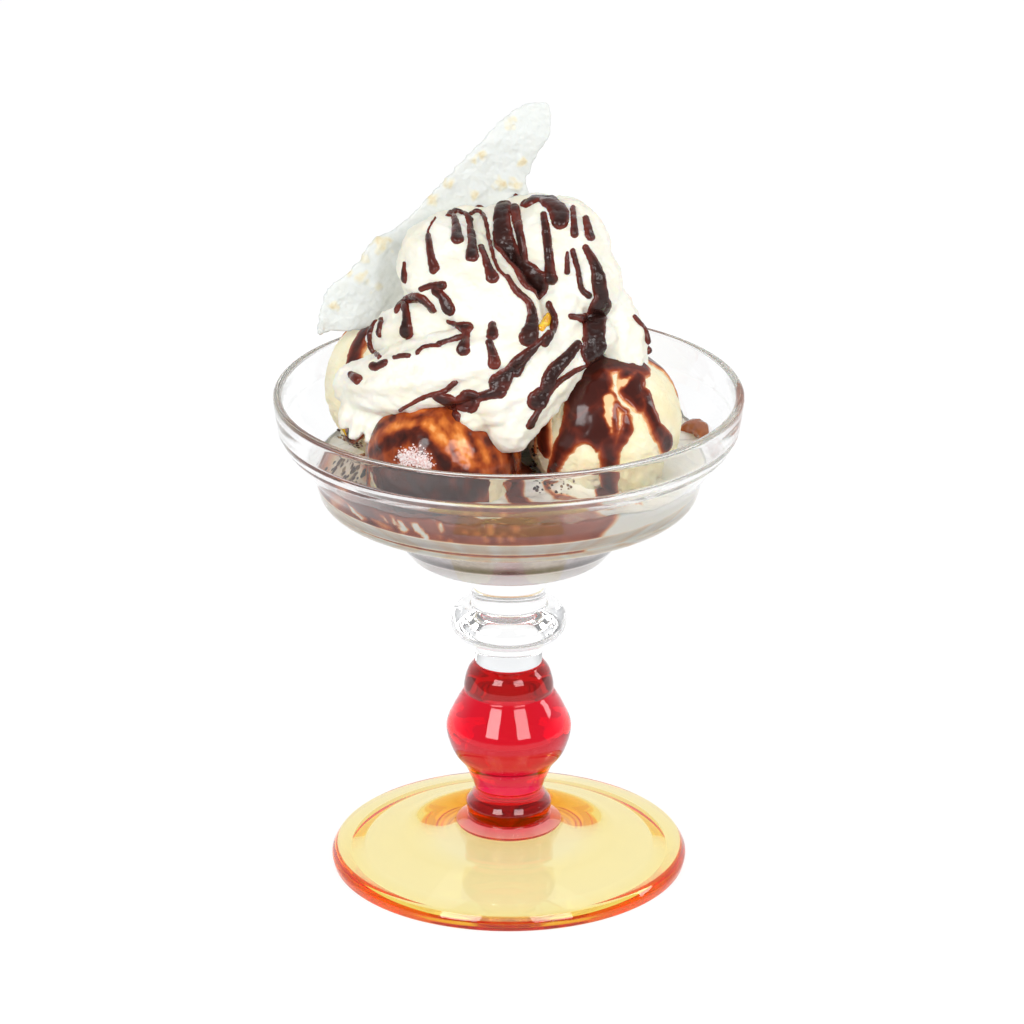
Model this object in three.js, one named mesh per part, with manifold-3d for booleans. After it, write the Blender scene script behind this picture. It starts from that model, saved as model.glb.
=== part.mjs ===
// A vanilla ice cream sundae in its own footed glass.
//
// The glass is a clear stepped bowl with a ring knop, on a ruby baluster stem
// and a thin, domed amber foot that stands on a ring. The bowl holds four scoops
// of vanilla ice cream in a pool of chocolate sauce, a mound of whipped cream
// with thick chocolate drizzle, and a crisp white wafer that stands on a scoop
// behind the cream.
//
// Millimetres, +Z up. The origin is on the surface that the foot stands on, on
// the axis of the glass. The front is towards -Y, with +X to the right.

import * as THREE from 'three';
import { mergeVertices } from 'three/addons/utils/BufferGeometryUtils.js';
import { ImprovedNoise } from 'three/addons/math/ImprovedNoise.js';
import Module from 'manifold-3d';

const wasm = await Module();
wasm.setup();

// Driving dimensions of the glass

const RIM_RADIUS = 65;
const RIM_HEIGHT = 141.3;
const WALL = 2.3;
const COLLAR_HEIGHT = 9.7;
const TIER_RADIUS = 54.3;
const TIER_FLOOR = 111;
const LEDGE = 5.5;
const WELL_RADIUS = 27.6;
const WELL_FLOOR = 94.2;
const BASE = 5.2;
const NECK_RADIUS = 10.5;
const KNOP_RADIUS = 16.25;
const KNOP_TOP = 78;
const KNOP_BOTTOM = 68.1;
const JOINT_RADIUS = 9.4;
const JOINT_HEIGHT = 60.6;

const BALUSTER_RADIUS = 17.6;
const BALUSTER_HEIGHT = 40.8;
const WAIST_RADIUS = 9.4;
const WAIST_HEIGHT = 22;
const BEAD_RADIUS = 12.1;
const BUTTON_RADIUS = 15;
const BUTTON_TOP = 12;
const BUTTON_BOTTOM = 10.4;

const FOOT_RADIUS = 50.1;
const FOOT_EDGE = 4.7;
const RING_INSIDE = 43.5;
const UNDERSIDE_HEIGHT = 6;

const GLASS_SIDES = 32;
const STEM_SIDES = 17;
const STEM_STEPS = 12;
const ARC_STEP = Math.PI / 4;

// Driving dimensions of the food

const CLEARANCE = 0.3;
const POOL_LEVEL = 123;
const SCOOPS = {
  scoop_right: { centre: [26, -11, 135.5], radius: 21.5, seed: 1.3 },
  scoop_front_left: { centre: [-18, -21, 129], radius: 21, seed: 2.7 },
  scoop_back_left: { centre: [-29.5, 12, 138], radius: 21.5, seed: 4.1 },
  scoop_back_right: { centre: [9, 27, 137], radius: 21, seed: 5.9 },
};
const SCOOP_DETAIL = 4;
const DOME_RELIEF = 0.5;
const SKIRT_RELIEF = 1.4;

// Each lobe of cream is a spindle along a few points, with a radius at each.
const CREAM_LOBES = [
  { name: 'core', along: [[0, 2, 156], [0, 3, 167], [2, 3, 180]], radii: [27, 26, 15] },
  { name: 'upper left fold', radii: [9.5, 13.5, 12.5, 8.5, 4],
    along: [[-11, 6, 183], [-17, -4, 179.5], [-8, -15, 174], [2, -21, 170], [6, -25, 167]] },
  { name: 'top dome', along: [[6, 6, 184], [13.5, -2, 181.5], [20, -6, 175]], radii: [12, 15.5, 11] },
  { name: 'right fold', radii: [6, 7, 7.5, 7],
    along: [[20, 3, 177], [26, -4, 168], [30, -8, 160], [31, -11, 154]] },
  { name: 'small left fold', radii: [6, 8.8, 9, 6],
    along: [[-33, -1, 156.5], [-27, -8, 161], [-19, -14, 165], [-10, -18, 166]] },
  { name: 'lower left swath', radii: [6.5, 9.5, 10.5, 9.5, 6],
    along: [[-41.5, -11, 147], [-33, -18, 149.5], [-20, -24, 155], [-6, -27, 161], [6, -26, 166]] },
  { name: 'lower middle fold', radii: [5, 6.5, 8, 6.5],
    along: [[24, -15, 163], [16, -21, 160], [7.5, -27, 152], [0.5, -31.5, 142]] },
  { name: 'lower middle ruffle', along: [[6, -25, 158], [-3, -29, 150], [-9, -30, 146]], radii: [8, 9, 6] },
  { name: 'middle tongue', radii: [7, 5.5, 4, 2.5],
    along: [[14, -12, 173], [14, -19, 168], [11, -24, 163], [9, -26, 160]] },
  { name: 'back swath', radii: [7, 9.5, 10, 9, 6],
    along: [[28, 8, 161], [20, 20, 158], [6, 27, 157], [-9, 26, 158], [-20, 19, 160]] },
  { name: 'back upper fold', radii: [8, 11, 10, 7],
    along: [[19, 10, 177], [6, 17, 175], [-8, 16, 177], [-16, 8, 181]] },
  { name: 'back tongue', along: [[-8, 27, 154], [-12, 32, 148], [-14, 34, 143]], radii: [8, 7, 4] },
];
const LOBE_SIDES = 12;
const LOBE_STEP = 10.2;
const LOBE_RELIEF = 0.7;

// Drizzle is laid on the cream as it is seen from the front and from behind.
// Its points are across and up, in the upright plane through the glass's axis.
const FRONT_EYE = new THREE.Vector3(0.9, -1519, 711);
const BACK_EYE = new THREE.Vector3(0, 1519, 711);
const DRIZZLE_HEIGHT = 1.2;
const DRIZZLE_SIDES = 5;
const DRIZZLE_STEP = 4.5;
const FRONT_DRIZZLE = [
  { along: [[-22, 186.5], [-21.5, 182], [-20.5, 177]], widths: [1.4, 2.2] },
  { along: [[-16.5, 194], [-14.5, 190.5], [-14, 185.5]], widths: [1.4, 2.5] },
  { along: [[-11, 191.5], [-10, 185.5], [-10, 180.5]], widths: [1.9, 2.5] },
  { along: [[-2, 192], [-1, 183.5], [2, 178.5], [5.5, 172.5]], widths: [4.5, 6.8] },
  { along: [[-0.5, 174.5], [2, 170.5], [5.5, 167], [6.5, 162]], widths: [2, 3.6] },
  { along: [[9.5, 192.5], [10.5, 185], [11.5, 174]], widths: [1.7, 2.5] },
  { along: [[21, 183], [24, 177], [25, 170.5]], widths: [1.9, 3.6] },
  { along: [[25, 164.5], [23.5, 160.5], [23.5, 155]], widths: [5, 5.6] },
  { along: [[-21, 166], [-24.5, 168.5], [-28.5, 166.5], [-28, 161]], widths: [2.4, 2.6] },
  { along: [[10, 157], [6, 153], [1.5, 149], [-2.5, 145]], widths: [1.6, 3.7] },
  { along: [[19, 155], [16, 151], [12, 146.5], [10.5, 142]], widths: [2.2, 3.6] },
  { along: [[-19.5, 140.5], [-15.5, 139.5], [-9, 140]], widths: [2.8, 3.6] },
];
const BACK_DRIZZLE = [
  { along: [[-18, 184], [-20, 172], [-19, 166]], widths: [1.8, 3] },
  { along: [[-8, 188], [-7, 176], [-9, 168]], widths: [2.2, 3.4] },
  { along: [[15, 183], [18, 174], [17, 167]], widths: [2, 3.4] },
];

// The wafer runs from its low end to its tip, with an edge above and one below.
const WAFER_END = new THREE.Vector3(-52.5, 5, 156);
const WAFER_TIP = new THREE.Vector3(10.5, 14, 219.5);
const WAFER_THICKNESS = 2.2;
const WAFER_WAVE = 0.9;
const WAFER_WAVELENGTH = 56;
const WAFER_RIM_SHARE = 0.6;
const WAFER_UPPER_EDGE = [
  [0, 0.6], [6, 4.8], [11, 7.2], [20, 6.4], [30, 7.5], [36, 5.4],
  [44, 5], [56, 5.7], [68, 6], [80, 5.9], [86, 4], [90, 0.6],
];
const WAFER_LOWER_EDGE = [
  [0, -0.6], [3, -1.6], [7, -5.6], [12, -8.5], [20, -10.5], [40, -15], [60, -16.5],
  [68, -14.2], [71, -10.5], [78, -8], [84, -6.6], [88, -3.4], [90, -0.6],
];
const WAFER_STEPS = 22;
const WAFER_ROWS = 4;

// Finishes

const finish = (color, roughness) => new THREE.MeshStandardMaterial({ color, roughness });
const glass = (color, opacity) => {
  const material = finish(color, 0.04);
  material.transparent = true;
  material.opacity = opacity;
  return material;
};
const CLEAR_GLASS = glass(0xeef3f4, 0.3);
const RUBY_GLASS = glass(0xc80a28, 0.8);
const AMBER_GLASS = glass(0xfad282, 0.7);
const ICE_CREAM = finish(0xf6e3b0, 0.55);
const SAUCE = finish(0x4a1a10, 0.15);
const CREAM = finish(0xfaf6e8, 0.5);
const WAFER = finish(0xf2f3ee, 0.5);

// Smooth, repeatable relief from one noise field, about -1 to 1
const noise = new ImprovedNoise();
function relief(point, size, seed) {
  return noise.noise(point.x / size + seed, point.y / size, point.z / size - seed);
}

// Keeps only positions, joins shared points and drops faces that have closed up
function closed(geometry) {
  geometry.deleteAttribute('normal');
  geometry.deleteAttribute('uv');
  const merged = mergeVertices(geometry, 1e-4);
  const corners = merged.index.array;
  const kept = [];
  for (let i = 0; i < corners.length; i += 3) {
    const [a, b, c] = corners.slice(i, i + 3);
    if (a !== b && b !== c && c !== a) kept.push(a, b, c);
  }
  merged.setIndex(kept);
  return merged;
}

// A closed geometry becomes a solid that can be joined and cut
function solid(geometry) {
  const merged = closed(geometry);
  return new wasm.Manifold(new wasm.Mesh({
    numProp: 3,
    vertProperties: new Float32Array(merged.attributes.position.array),
    triVerts: new Uint32Array(merged.index.array),
  }));
}

// A solid becomes a geometry again, without scraps that a cut left loose
function geometryOf(body) {
  const pieces = body.decompose().sort((a, b) => b.volume() - a.volume());
  const mesh = pieces[0].getMesh();
  const geometry = new THREE.BufferGeometry();
  geometry.setAttribute('position', new THREE.BufferAttribute(new Float32Array(mesh.vertProperties), 3));
  geometry.setIndex([...mesh.triVerts]);
  return geometry;
}

// An outline of corners [radius, height, rounding] with each rounding as an arc
function rounded(corners) {
  const points = [];
  corners.forEach(([r, z, rounding = 0], i) => {
    const corner = new THREE.Vector2(r, z);
    if (!rounding) {
      points.push(corner);
      return;
    }
    const back = new THREE.Vector2(...corners[i - 1]).sub(corner).normalize();
    const on = new THREE.Vector2(...corners[i + 1]).sub(corner).normalize();
    const half = Math.acos(THREE.MathUtils.clamp(back.dot(on), -1, 1)) / 2;
    const centre = back.clone().add(on).setLength(rounding / Math.sin(half)).add(corner);
    const start = back.clone().multiplyScalar(rounding / Math.tan(half)).add(corner).sub(centre);
    const sweep = (Math.PI - 2 * half) * Math.sign(on.cross(back));
    const steps = Math.max(1, Math.round(Math.abs(sweep) / ARC_STEP));
    for (let k = 0; k <= steps; k += 1) {
      points.push(start.clone().rotateAround(new THREE.Vector2(), (sweep * k) / steps).add(centre));
    }
  });
  return points;
}

// An outline turned about the upright axis of the glass
function turned(outline, sides) {
  return new THREE.LatheGeometry(outline, sides).rotateX(Math.PI / 2);
}

// Glass

const rimInside = RIM_RADIUS - WALL;
const collarBottom = RIM_HEIGHT - COLLAR_HEIGHT;
const stepOutline = [
  [TIER_RADIUS - 2.1, TIER_FLOOR, 4.5],
  [TIER_RADIUS, TIER_FLOOR + 8, 6],
  [RIM_RADIUS - 2.7, collarBottom - 3, 3],
  [RIM_RADIUS - 1.1, collarBottom, 2],
];
const wellTop = WELL_RADIUS + 9.9;

// The hollow of the bowl, from its floor up, pulled in by a gap from the wall.
// Pressed glass is thickest below: BASE under the well, and LEDGE under the tier.
const hollowOutline = (gap) => [
  [0, WELL_FLOOR + BASE + gap],
  [WELL_RADIUS - 2 - gap, WELL_FLOOR + BASE + gap, 2.5],
  [wellTop - 2.1 - gap, TIER_FLOOR + LEDGE - 4.6 + gap, 4],
  [TIER_RADIUS - 4.1 - gap, TIER_FLOOR + LEDGE + gap, 3],
  [TIER_RADIUS - 2.4 - gap, TIER_FLOOR + 8.9, 6],
  [RIM_RADIUS - 5 - gap, collarBottom - 1.5, 2.5],
  [RIM_RADIUS - 3.4 - gap, collarBottom + 1, 2],
];

function glassBowl() {
  return turned(rounded([
    [0, JOINT_HEIGHT],
    [JOINT_RADIUS, JOINT_HEIGHT],
    [JOINT_RADIUS, KNOP_BOTTOM, 1],
    [KNOP_RADIUS, KNOP_BOTTOM, 4.9],
    [KNOP_RADIUS, KNOP_TOP, 4.9],
    [NECK_RADIUS, KNOP_TOP, 0.8],
    [NECK_RADIUS, WELL_FLOOR - 3.4, 4],
    [WELL_RADIUS, WELL_FLOOR, 3],
    [wellTop, TIER_FLOOR - 4.5, 4],
    ...stepOutline,
    [RIM_RADIUS, RIM_HEIGHT - 1.8],
    [RIM_RADIUS, RIM_HEIGHT, 1.1],
    [rimInside, RIM_HEIGHT, 1.1],
    ...hollowOutline(0).reverse(),
  ]), GLASS_SIDES);
}

function glassStem() {
  const baluster = new THREE.SplineCurve([
    [WAIST_RADIUS, WAIST_HEIGHT], [12.2, 29], [15.8, 34], [BALUSTER_RADIUS, BALUSTER_HEIGHT], [15.7, 46.2],
    [13.1, 51.4], [11.9, 55.4], [11.5, 58], [JOINT_RADIUS + 0.1, JOINT_HEIGHT - CLEARANCE],
  ].map(([r, z]) => new THREE.Vector2(r, z)));
  const foot = rounded([
    [0, BUTTON_BOTTOM],
    [BUTTON_RADIUS, BUTTON_BOTTOM, 0.6],
    [BUTTON_RADIUS, BUTTON_TOP, 0.6],
    [BEAD_RADIUS - 0.6, BUTTON_TOP + 1.6, 0.8],
    [BEAD_RADIUS, BUTTON_TOP + 5.6, 2],
    [WAIST_RADIUS, WAIST_HEIGHT],
  ]);
  const top = new THREE.Vector2(0, JOINT_HEIGHT - CLEARANCE);
  return turned([...foot, ...baluster.getPoints(STEM_STEPS).slice(1), top], STEM_SIDES);
}

function glassFoot() {
  const seat = BUTTON_RADIUS + CLEARANCE;
  return turned(rounded([
    [0, UNDERSIDE_HEIGHT - 0.6],
    [16, UNDERSIDE_HEIGHT],
    [RING_INSIDE - 1.2, 1.5],
    [RING_INSIDE, 0],
    [FOOT_RADIUS - 0.5, 0],
    [FOOT_RADIUS, 2.4],
    [FOOT_RADIUS - 1.4, FOOT_EDGE, 1.3],
    [32, 8],
    [seat, BUTTON_TOP],
    [seat, BUTTON_BOTTOM - CLEARANCE],
    [0, BUTTON_BOTTOM - CLEARANCE],
  ]), GLASS_SIDES);
}

// The space that the bowl leaves for food, up to a level
function bowlSpace(level) {
  const high = Math.max(level, RIM_HEIGHT) + 1;
  const whole = solid(turned(rounded([
    ...hollowOutline(CLEARANCE),
    [rimInside - 0.4 - CLEARANCE, high],
    [0, high],
  ]), GLASS_SIDES));
  const below = new THREE.CylinderGeometry(RIM_RADIUS, RIM_RADIUS, level, GLASS_SIDES);
  return whole.intersect(solid(below.rotateX(Math.PI / 2).translate(0, 0, level / 2)));
}

// A ball of ice cream: low bumps on the dome, and a ragged skirt round its foot
function scoopBall({ centre, radius, seed }, swell = 0) {
  const ball = new THREE.IcosahedronGeometry(1, SCOOP_DETAIL);
  const place = ball.attributes.position;
  const point = new THREE.Vector3();
  for (let i = 0; i < place.count; i += 1) {
    point.fromBufferAttribute(place, i);
    const skirt = THREE.MathUtils.smoothstep(-point.z, -0.1, 0.4);
    const bumps = DOME_RELIEF * relief(point, 0.5, seed) + SKIRT_RELIEF * skirt * relief(point, 0.22, seed);
    point.multiplyScalar(radius + bumps + swell);
    place.setXYZ(i, point.x + centre[0], point.y + centre[1], point.z + centre[2]);
  }
  return solid(ball);
}

// Scoops press against one another: each later ball is cut back by the earlier
function scoops(space) {
  const shaped = {};
  const earlier = [];
  for (const [name, scoop] of Object.entries(SCOOPS)) {
    let body = scoopBall(scoop).intersect(space);
    for (const other of earlier) body = body.subtract(scoopBall(other, CLEARANCE));
    shaped[name] = body;
    earlier.push(scoop);
  }
  return shaped;
}

// A round body along a curve, its rings round the curve and its ends domed
function spindle({ along, radii }, sides, step) {
  const curve = new THREE.CatmullRomCurve3(along.map((p) => new THREE.Vector3(...p)));
  const widths = new THREE.SplineCurve(radii.map((r, i) => new THREE.Vector2(i, r)));
  const middle = Math.max(2, Math.round(curve.getLength() / step));
  const stations = [];
  const domeSteps = [0, 1, 2].map((k) => (k * Math.PI) / 6);
  domeSteps.forEach((a) => stations.push({ s: 0, push: -Math.cos(a), size: Math.sin(a) }));
  for (let k = 0; k <= middle; k += 1) stations.push({ s: k / middle, push: 0, size: 1 });
  domeSteps.reverse().forEach((a) => stations.push({ s: 1, push: Math.cos(a), size: Math.sin(a) }));

  const ball = new THREE.SphereGeometry(1, sides, stations.length - 1);
  const place = ball.attributes.position;
  const rings = stations.map(({ s, push, size }) => {
    const radius = widths.getPoint(s).y;
    const tangent = curve.getTangent(s);
    const centre = curve.getPoint(s).addScaledVector(tangent, push * radius);
    const side = new THREE.Vector3(0.31, 0.2, 1).cross(tangent).normalize();
    const up = side.clone().cross(tangent);
    return { centre, side, up, radius: radius * size };
  });
  for (let i = 0; i < place.count; i += 1) {
    const { centre, side, up, radius } = rings[Math.floor(i / (sides + 1))];
    const turn = (2 * Math.PI * (i % (sides + 1))) / sides;
    const point = centre.clone();
    point.addScaledVector(side, radius * Math.cos(turn)).addScaledVector(up, radius * Math.sin(turn));
    place.setXYZ(i, point.x, point.y, point.z);
  }
  return ball;
}

function creamLobe(lobe, seed) {
  const body = closed(spindle(lobe, LOBE_SIDES, LOBE_STEP));
  const place = body.attributes.position;
  body.computeVertexNormals();
  const point = new THREE.Vector3();
  const outward = new THREE.Vector3();
  for (let i = 0; i < place.count; i += 1) {
    point.fromBufferAttribute(place, i);
    outward.fromBufferAttribute(body.attributes.normal, i);
    point.addScaledVector(outward, LOBE_RELIEF * relief(point, 7, seed));
    place.setXYZ(i, point.x, point.y, point.z);
  }
  return solid(body);
}

// Where a line of sight from the eye first meets the cream, and which way it faces
function sight(target, eye, [across, up]) {
  const through = new THREE.Vector3(across, 0, up).sub(eye).normalize();
  const hit = new THREE.Raycaster(eye, through).intersectObject(target)[0];
  return hit && { point: hit.point, normal: hit.face.normal };
}

// A bead of sauce lying along the cream, low and rounded, wider at its lower end
function drizzle(target, eye, { along, widths }) {
  const seen = new THREE.SplineCurve(along.map(([x, z]) => new THREE.Vector2(x, z)));
  const count = Math.max(2, Math.round(seen.getLength() / DRIZZLE_STEP));
  const stations = [];
  for (let k = 0; k <= count; k += 1) {
    const s = k / count;
    const hit = sight(target, eye, seen.getPoint(s).toArray());
    if (hit) stations.push({ ...hit, half: THREE.MathUtils.lerp(widths[0], widths[1], s) / 2 });
  }
  const last = stations.length - 1;
  const ball = new THREE.SphereGeometry(1, DRIZZLE_SIDES, last + 2);
  const place = ball.attributes.position;
  for (let i = 0; i < place.count; i += 1) {
    const ring = Math.floor(i / (DRIZZLE_SIDES + 1)) - 1;
    const end = ring < 0 || ring > last;
    const here = stations[THREE.MathUtils.clamp(ring, 0, last)];
    const before = stations[Math.max(0, Math.min(ring - 1, last - 1))].point;
    const after = stations[Math.min(last, Math.max(ring + 1, 1))].point;
    const ahead = after.clone().sub(before).normalize();
    const side = ahead.clone().cross(here.normal).normalize();
    const turn = (2 * Math.PI * (i % (DRIZZLE_SIDES + 1))) / DRIZZLE_SIDES;
    const point = here.point.clone();
    if (end) {
      point.addScaledVector(ahead, Math.sign(ring) * here.half);
    } else {
      point.addScaledVector(side, here.half * Math.cos(turn));
      point.addScaledVector(here.normal, DRIZZLE_HEIGHT * Math.sin(turn));
    }
    place.setXYZ(i, point.x, point.y, point.z);
  }
  return solid(ball);
}

function whippedCream(around) {
  let body = creamLobe(CREAM_LOBES[0], 0.5);
  CREAM_LOBES.slice(1).forEach((lobe, i) => {
    body = body.add(creamLobe(lobe, 1.5 + i));
  });
  const bare = new THREE.Mesh(geometryOf(body));
  bare.geometry.computeVertexNormals();
  for (const stroke of FRONT_DRIZZLE) body = body.add(drizzle(bare, FRONT_EYE, stroke));
  for (const stroke of BACK_DRIZZLE) body = body.add(drizzle(bare, BACK_EYE, stroke));
  for (const other of around) body = body.subtract(other);
  return body;
}

// A thin crisp sheet: a grid between its two edges, gently waved, thin at the rim
function waferSheet(swell = 0) {
  const length = WAFER_TIP.clone().sub(WAFER_END);
  const ahead = length.clone().normalize();
  const face = new THREE.Vector3(0, -1, 0).addScaledVector(ahead, ahead.y).normalize();
  const upward = face.clone().cross(ahead).normalize();
  const edge = (points) => new THREE.SplineCurve(points.map(([u, v]) => new THREE.Vector2(u, v)));
  const upper = edge(WAFER_UPPER_EDGE).getSpacedPoints(WAFER_STEPS);
  const lower = edge(WAFER_LOWER_EDGE).getSpacedPoints(WAFER_STEPS);
  const sheet = new THREE.BoxGeometry(1, 1, 1, WAFER_STEPS, WAFER_ROWS, 1);
  const place = sheet.attributes.position;
  const grow = new THREE.Vector2();
  for (let i = 0; i < place.count; i += 1) {
    const step = Math.round((place.getX(i) + 0.5) * WAFER_STEPS);
    const row = place.getY(i) + 0.5;
    const flat = lower[step].clone().lerp(upper[step], row);
    const inset = Math.min(step, WAFER_STEPS - step);
    const full = Math.min(1, 4 * row * (1 - row)) * Math.min(1, 0.4 + inset / 3);
    const turns = (2 * Math.PI * flat.x) / WAFER_WAVELENGTH;
    const wave = WAFER_WAVE * (Math.sin(turns) + relief(new THREE.Vector3(flat.x, flat.y, 0), 8, 3.3));
    const half = (WAFER_THICKNESS / 2) * THREE.MathUtils.lerp(WAFER_RIM_SHARE, 1, full) + swell;
    grow.set(Math.sign(place.getX(i)) * (step % WAFER_STEPS ? 0 : swell), (row * 2 - 1) * swell);
    const point = WAFER_END.clone();
    point.addScaledVector(ahead, flat.x + grow.x).addScaledVector(upward, flat.y + grow.y);
    point.addScaledVector(face, wave + Math.sign(place.getZ(i)) * half);
    place.setXYZ(i, point.x, point.y, point.z);
  }
  return solid(sheet);
}

function named(name, geometry, material) {
  const mesh = new THREE.Mesh(geometry, material);
  mesh.name = name;
  return mesh;
}

const space = bowlSpace(RIM_HEIGHT + 60);
const shapedScoops = scoops(space);
const scoopRoom = Object.values(SCOOPS).map((scoop) => scoopBall(scoop, CLEARANCE));
let pool = bowlSpace(POOL_LEVEL);
for (const room of scoopRoom) pool = pool.subtract(room);
let wafer = waferSheet();
for (const room of scoopRoom) wafer = wafer.subtract(room);

const sundae = new THREE.Group();
sundae.add(named('glass_bowl', closed(glassBowl()), CLEAR_GLASS));
sundae.add(named('glass_stem', closed(glassStem()), RUBY_GLASS));
sundae.add(named('glass_foot', closed(glassFoot()), AMBER_GLASS));
for (const [name, body] of Object.entries(shapedScoops)) {
  sundae.add(named(name, geometryOf(body), ICE_CREAM));
}
const cream = whippedCream([...scoopRoom, waferSheet(CLEARANCE)]);
sundae.add(named('sauce_pool', geometryOf(pool), SAUCE));
sundae.add(named('whipped_cream', geometryOf(cream), CREAM));
sundae.add(named('wafer', geometryOf(wafer), WAFER));

export default sundae;
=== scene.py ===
# %% [markdown]
# # A vanilla ice cream sundae in a footed glass
#
# This lesson dresses a solid model of a sundae. The solids are already the
# right size and in the right place, so every piece made here stands in for one
# of them, in the same frame: metres, with +Z up, the front towards -Y, and the
# origin under the foot of the glass. Shapes are worked in millimetres and
# scaled at the very end of each piece.

# %% The frame
import math
import random

import bmesh
import bpy
import numpy as np
from mathutils import Matrix, Vector, noise
from mathutils.bvhtree import BVHTree


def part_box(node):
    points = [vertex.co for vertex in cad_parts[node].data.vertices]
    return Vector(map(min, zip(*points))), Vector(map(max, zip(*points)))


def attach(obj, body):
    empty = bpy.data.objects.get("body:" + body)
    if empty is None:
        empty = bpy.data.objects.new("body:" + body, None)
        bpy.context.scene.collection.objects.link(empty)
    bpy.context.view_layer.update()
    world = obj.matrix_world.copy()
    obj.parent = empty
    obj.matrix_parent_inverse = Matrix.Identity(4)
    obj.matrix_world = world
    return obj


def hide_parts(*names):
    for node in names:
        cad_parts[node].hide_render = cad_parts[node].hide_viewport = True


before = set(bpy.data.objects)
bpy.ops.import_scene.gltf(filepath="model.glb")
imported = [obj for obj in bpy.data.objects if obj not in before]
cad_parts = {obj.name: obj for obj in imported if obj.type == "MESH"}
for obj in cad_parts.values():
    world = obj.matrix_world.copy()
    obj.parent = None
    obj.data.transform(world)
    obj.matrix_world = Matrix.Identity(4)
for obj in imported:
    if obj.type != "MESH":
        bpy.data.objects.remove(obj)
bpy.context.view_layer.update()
MM = 0.001

print("solids:", sorted(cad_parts))

# %% [markdown]
# ## Looking at it
#
# The camera stands a metre and a half away and looks down at about 22 degrees
# through a long lens, so that the rim of the glass is a flat, calm ellipse. A
# short lens near the glass would make the scoops bulge.

# %% Camera
EYE = Vector((0.9, -1519.4, 710.8))
LOOK_DOWN = math.radians(21.73)
LENS = 206.9

lens = bpy.data.cameras.new("camera")
lens.lens = LENS
lens.sensor_width = 36
lens.clip_end = 50
camera = bpy.data.objects.new("camera", lens)
camera.location = EYE * MM
camera.rotation_euler = (math.pi / 2 - LOOK_DOWN, 0, 0)
bpy.context.scene.collection.objects.link(camera)
bpy.context.scene.camera = camera
bpy.context.scene.view_settings.view_transform = "Standard"

LIGHT_BOUNCES = 48
paths = bpy.context.scene.cycles
paths.max_bounces = LIGHT_BOUNCES
paths.glossy_bounces = LIGHT_BOUNCES
paths.transmission_bounces = LIGHT_BOUNCES

print("camera at", tuple(round(x, 3) for x in camera.location))

# %% [markdown]
# ## Soft light
#
# Glass shows what is around it, so the room matters as much as the glass. Two
# large soft boxes stand on either side of the camera, and their mirror images
# are the pairs of bright panes on the ruby stem. A third, at the right, gives
# the thin highlight on that side, and a wide one above lights the top. Small
# hard lamps would give sparks and black shadows.

# %% Lamps
AIM = Vector((0, 0, 0.1))
SOFT_BOXES = {
    "box_left": (-33, 30, 1.5, (0.62, 0.75), 12.4),
    "box_right": (29, 30, 1.5, (0.62, 0.75), 10),
    "box_side": (98, 22, 1.4, (0.3, 0.5), 3),
    "box_above": (160, 70, 1.8, (1.6, 1.6), 3),
}


def soft_box(name, azimuth, elevation, distance, size, power):
    """A flat lamp that looks at the middle of the glass. Azimuth 0 is at the camera's side."""
    light = bpy.data.lights.new(name, "AREA")
    light.shape = "RECTANGLE"
    light.size, light.size_y = size
    light.energy = power
    lamp = bpy.data.objects.new(name, light)
    turn, rise = math.radians(azimuth), math.radians(elevation)
    back = Vector((math.sin(turn) * math.cos(rise), -math.cos(turn) * math.cos(rise), math.sin(rise)))
    lamp.location = back * distance + AIM
    lamp.rotation_euler = back.to_track_quat("Z", "Y").to_euler()
    bpy.context.scene.collection.objects.link(lamp)


for name, values in SOFT_BOXES.items():
    soft_box(name, *values)

# %% [markdown]
# The sky is bright behind the glass and a quiet grey behind the camera. An even
# sky would wash the mirror images out, and the glass would have no form.

# %% Sky
SKY_COLOUR = (0.975, 0.985, 1.0, 1)
SKY_IN_FRONT = 0.3
SKY_BEHIND = 0.95

world = bpy.data.worlds.new("sky")
world.use_nodes = True
sky = world.node_tree.nodes["Background"]
sky.inputs["Color"].default_value = SKY_COLOUR
direction = world.node_tree.nodes.new("ShaderNodeTexCoord")
parts = world.node_tree.nodes.new("ShaderNodeSeparateXYZ")
toward_wall = world.node_tree.nodes.new("ShaderNodeMapRange")
for socket, value in (("From Max", 0.7), ("To Min", SKY_IN_FRONT), ("To Max", SKY_BEHIND)):
    toward_wall.inputs[socket].default_value = value
world.node_tree.links.new(direction.outputs["Generated"], parts.inputs["Vector"])
world.node_tree.links.new(parts.outputs["Y"], toward_wall.inputs["Value"])
world.node_tree.links.new(toward_wall.outputs["Result"], sky.inputs["Strength"])
bpy.context.scene.world = world
print("sky strength from", SKY_IN_FRONT, "in front to", SKY_BEHIND, "behind")

# %% [markdown]
# A pale floor runs out of sight. It gets a faint glow further on, so that it
# stays white under the foot and light comes up through the coloured glass. It
# lies a hair below the foot, because two faces in one plane would flicker.

# %% Floor
FLOOR_SIZE = 3.2
FLOOR_DROP = 0.0003

floor_mesh = bpy.data.meshes.new("floor")
floor_bm = bmesh.new()
bmesh.ops.create_circle(floor_bm, cap_ends=True, segments=96, radius=FLOOR_SIZE)
floor_bm.to_mesh(floor_mesh)
floor_bm.free()
floor = bpy.data.objects.new("floor", floor_mesh)
floor.location.z = -FLOOR_DROP
bpy.context.scene.collection.objects.link(floor)
print("the floor is", 2 * FLOOR_SIZE, "m across")

# %% [markdown]
# ## Materials from nodes
#
# Each finish is a Principled shader with a few nodes before it. The helpers
# here only save typing: one starts a material, one adds a node and sets its
# values, and one links noise to a bump so that a surface is never perfectly
# smooth. All patterns read Object coordinates, which stay put when the camera
# moves.

# %% Helpers for materials


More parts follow.
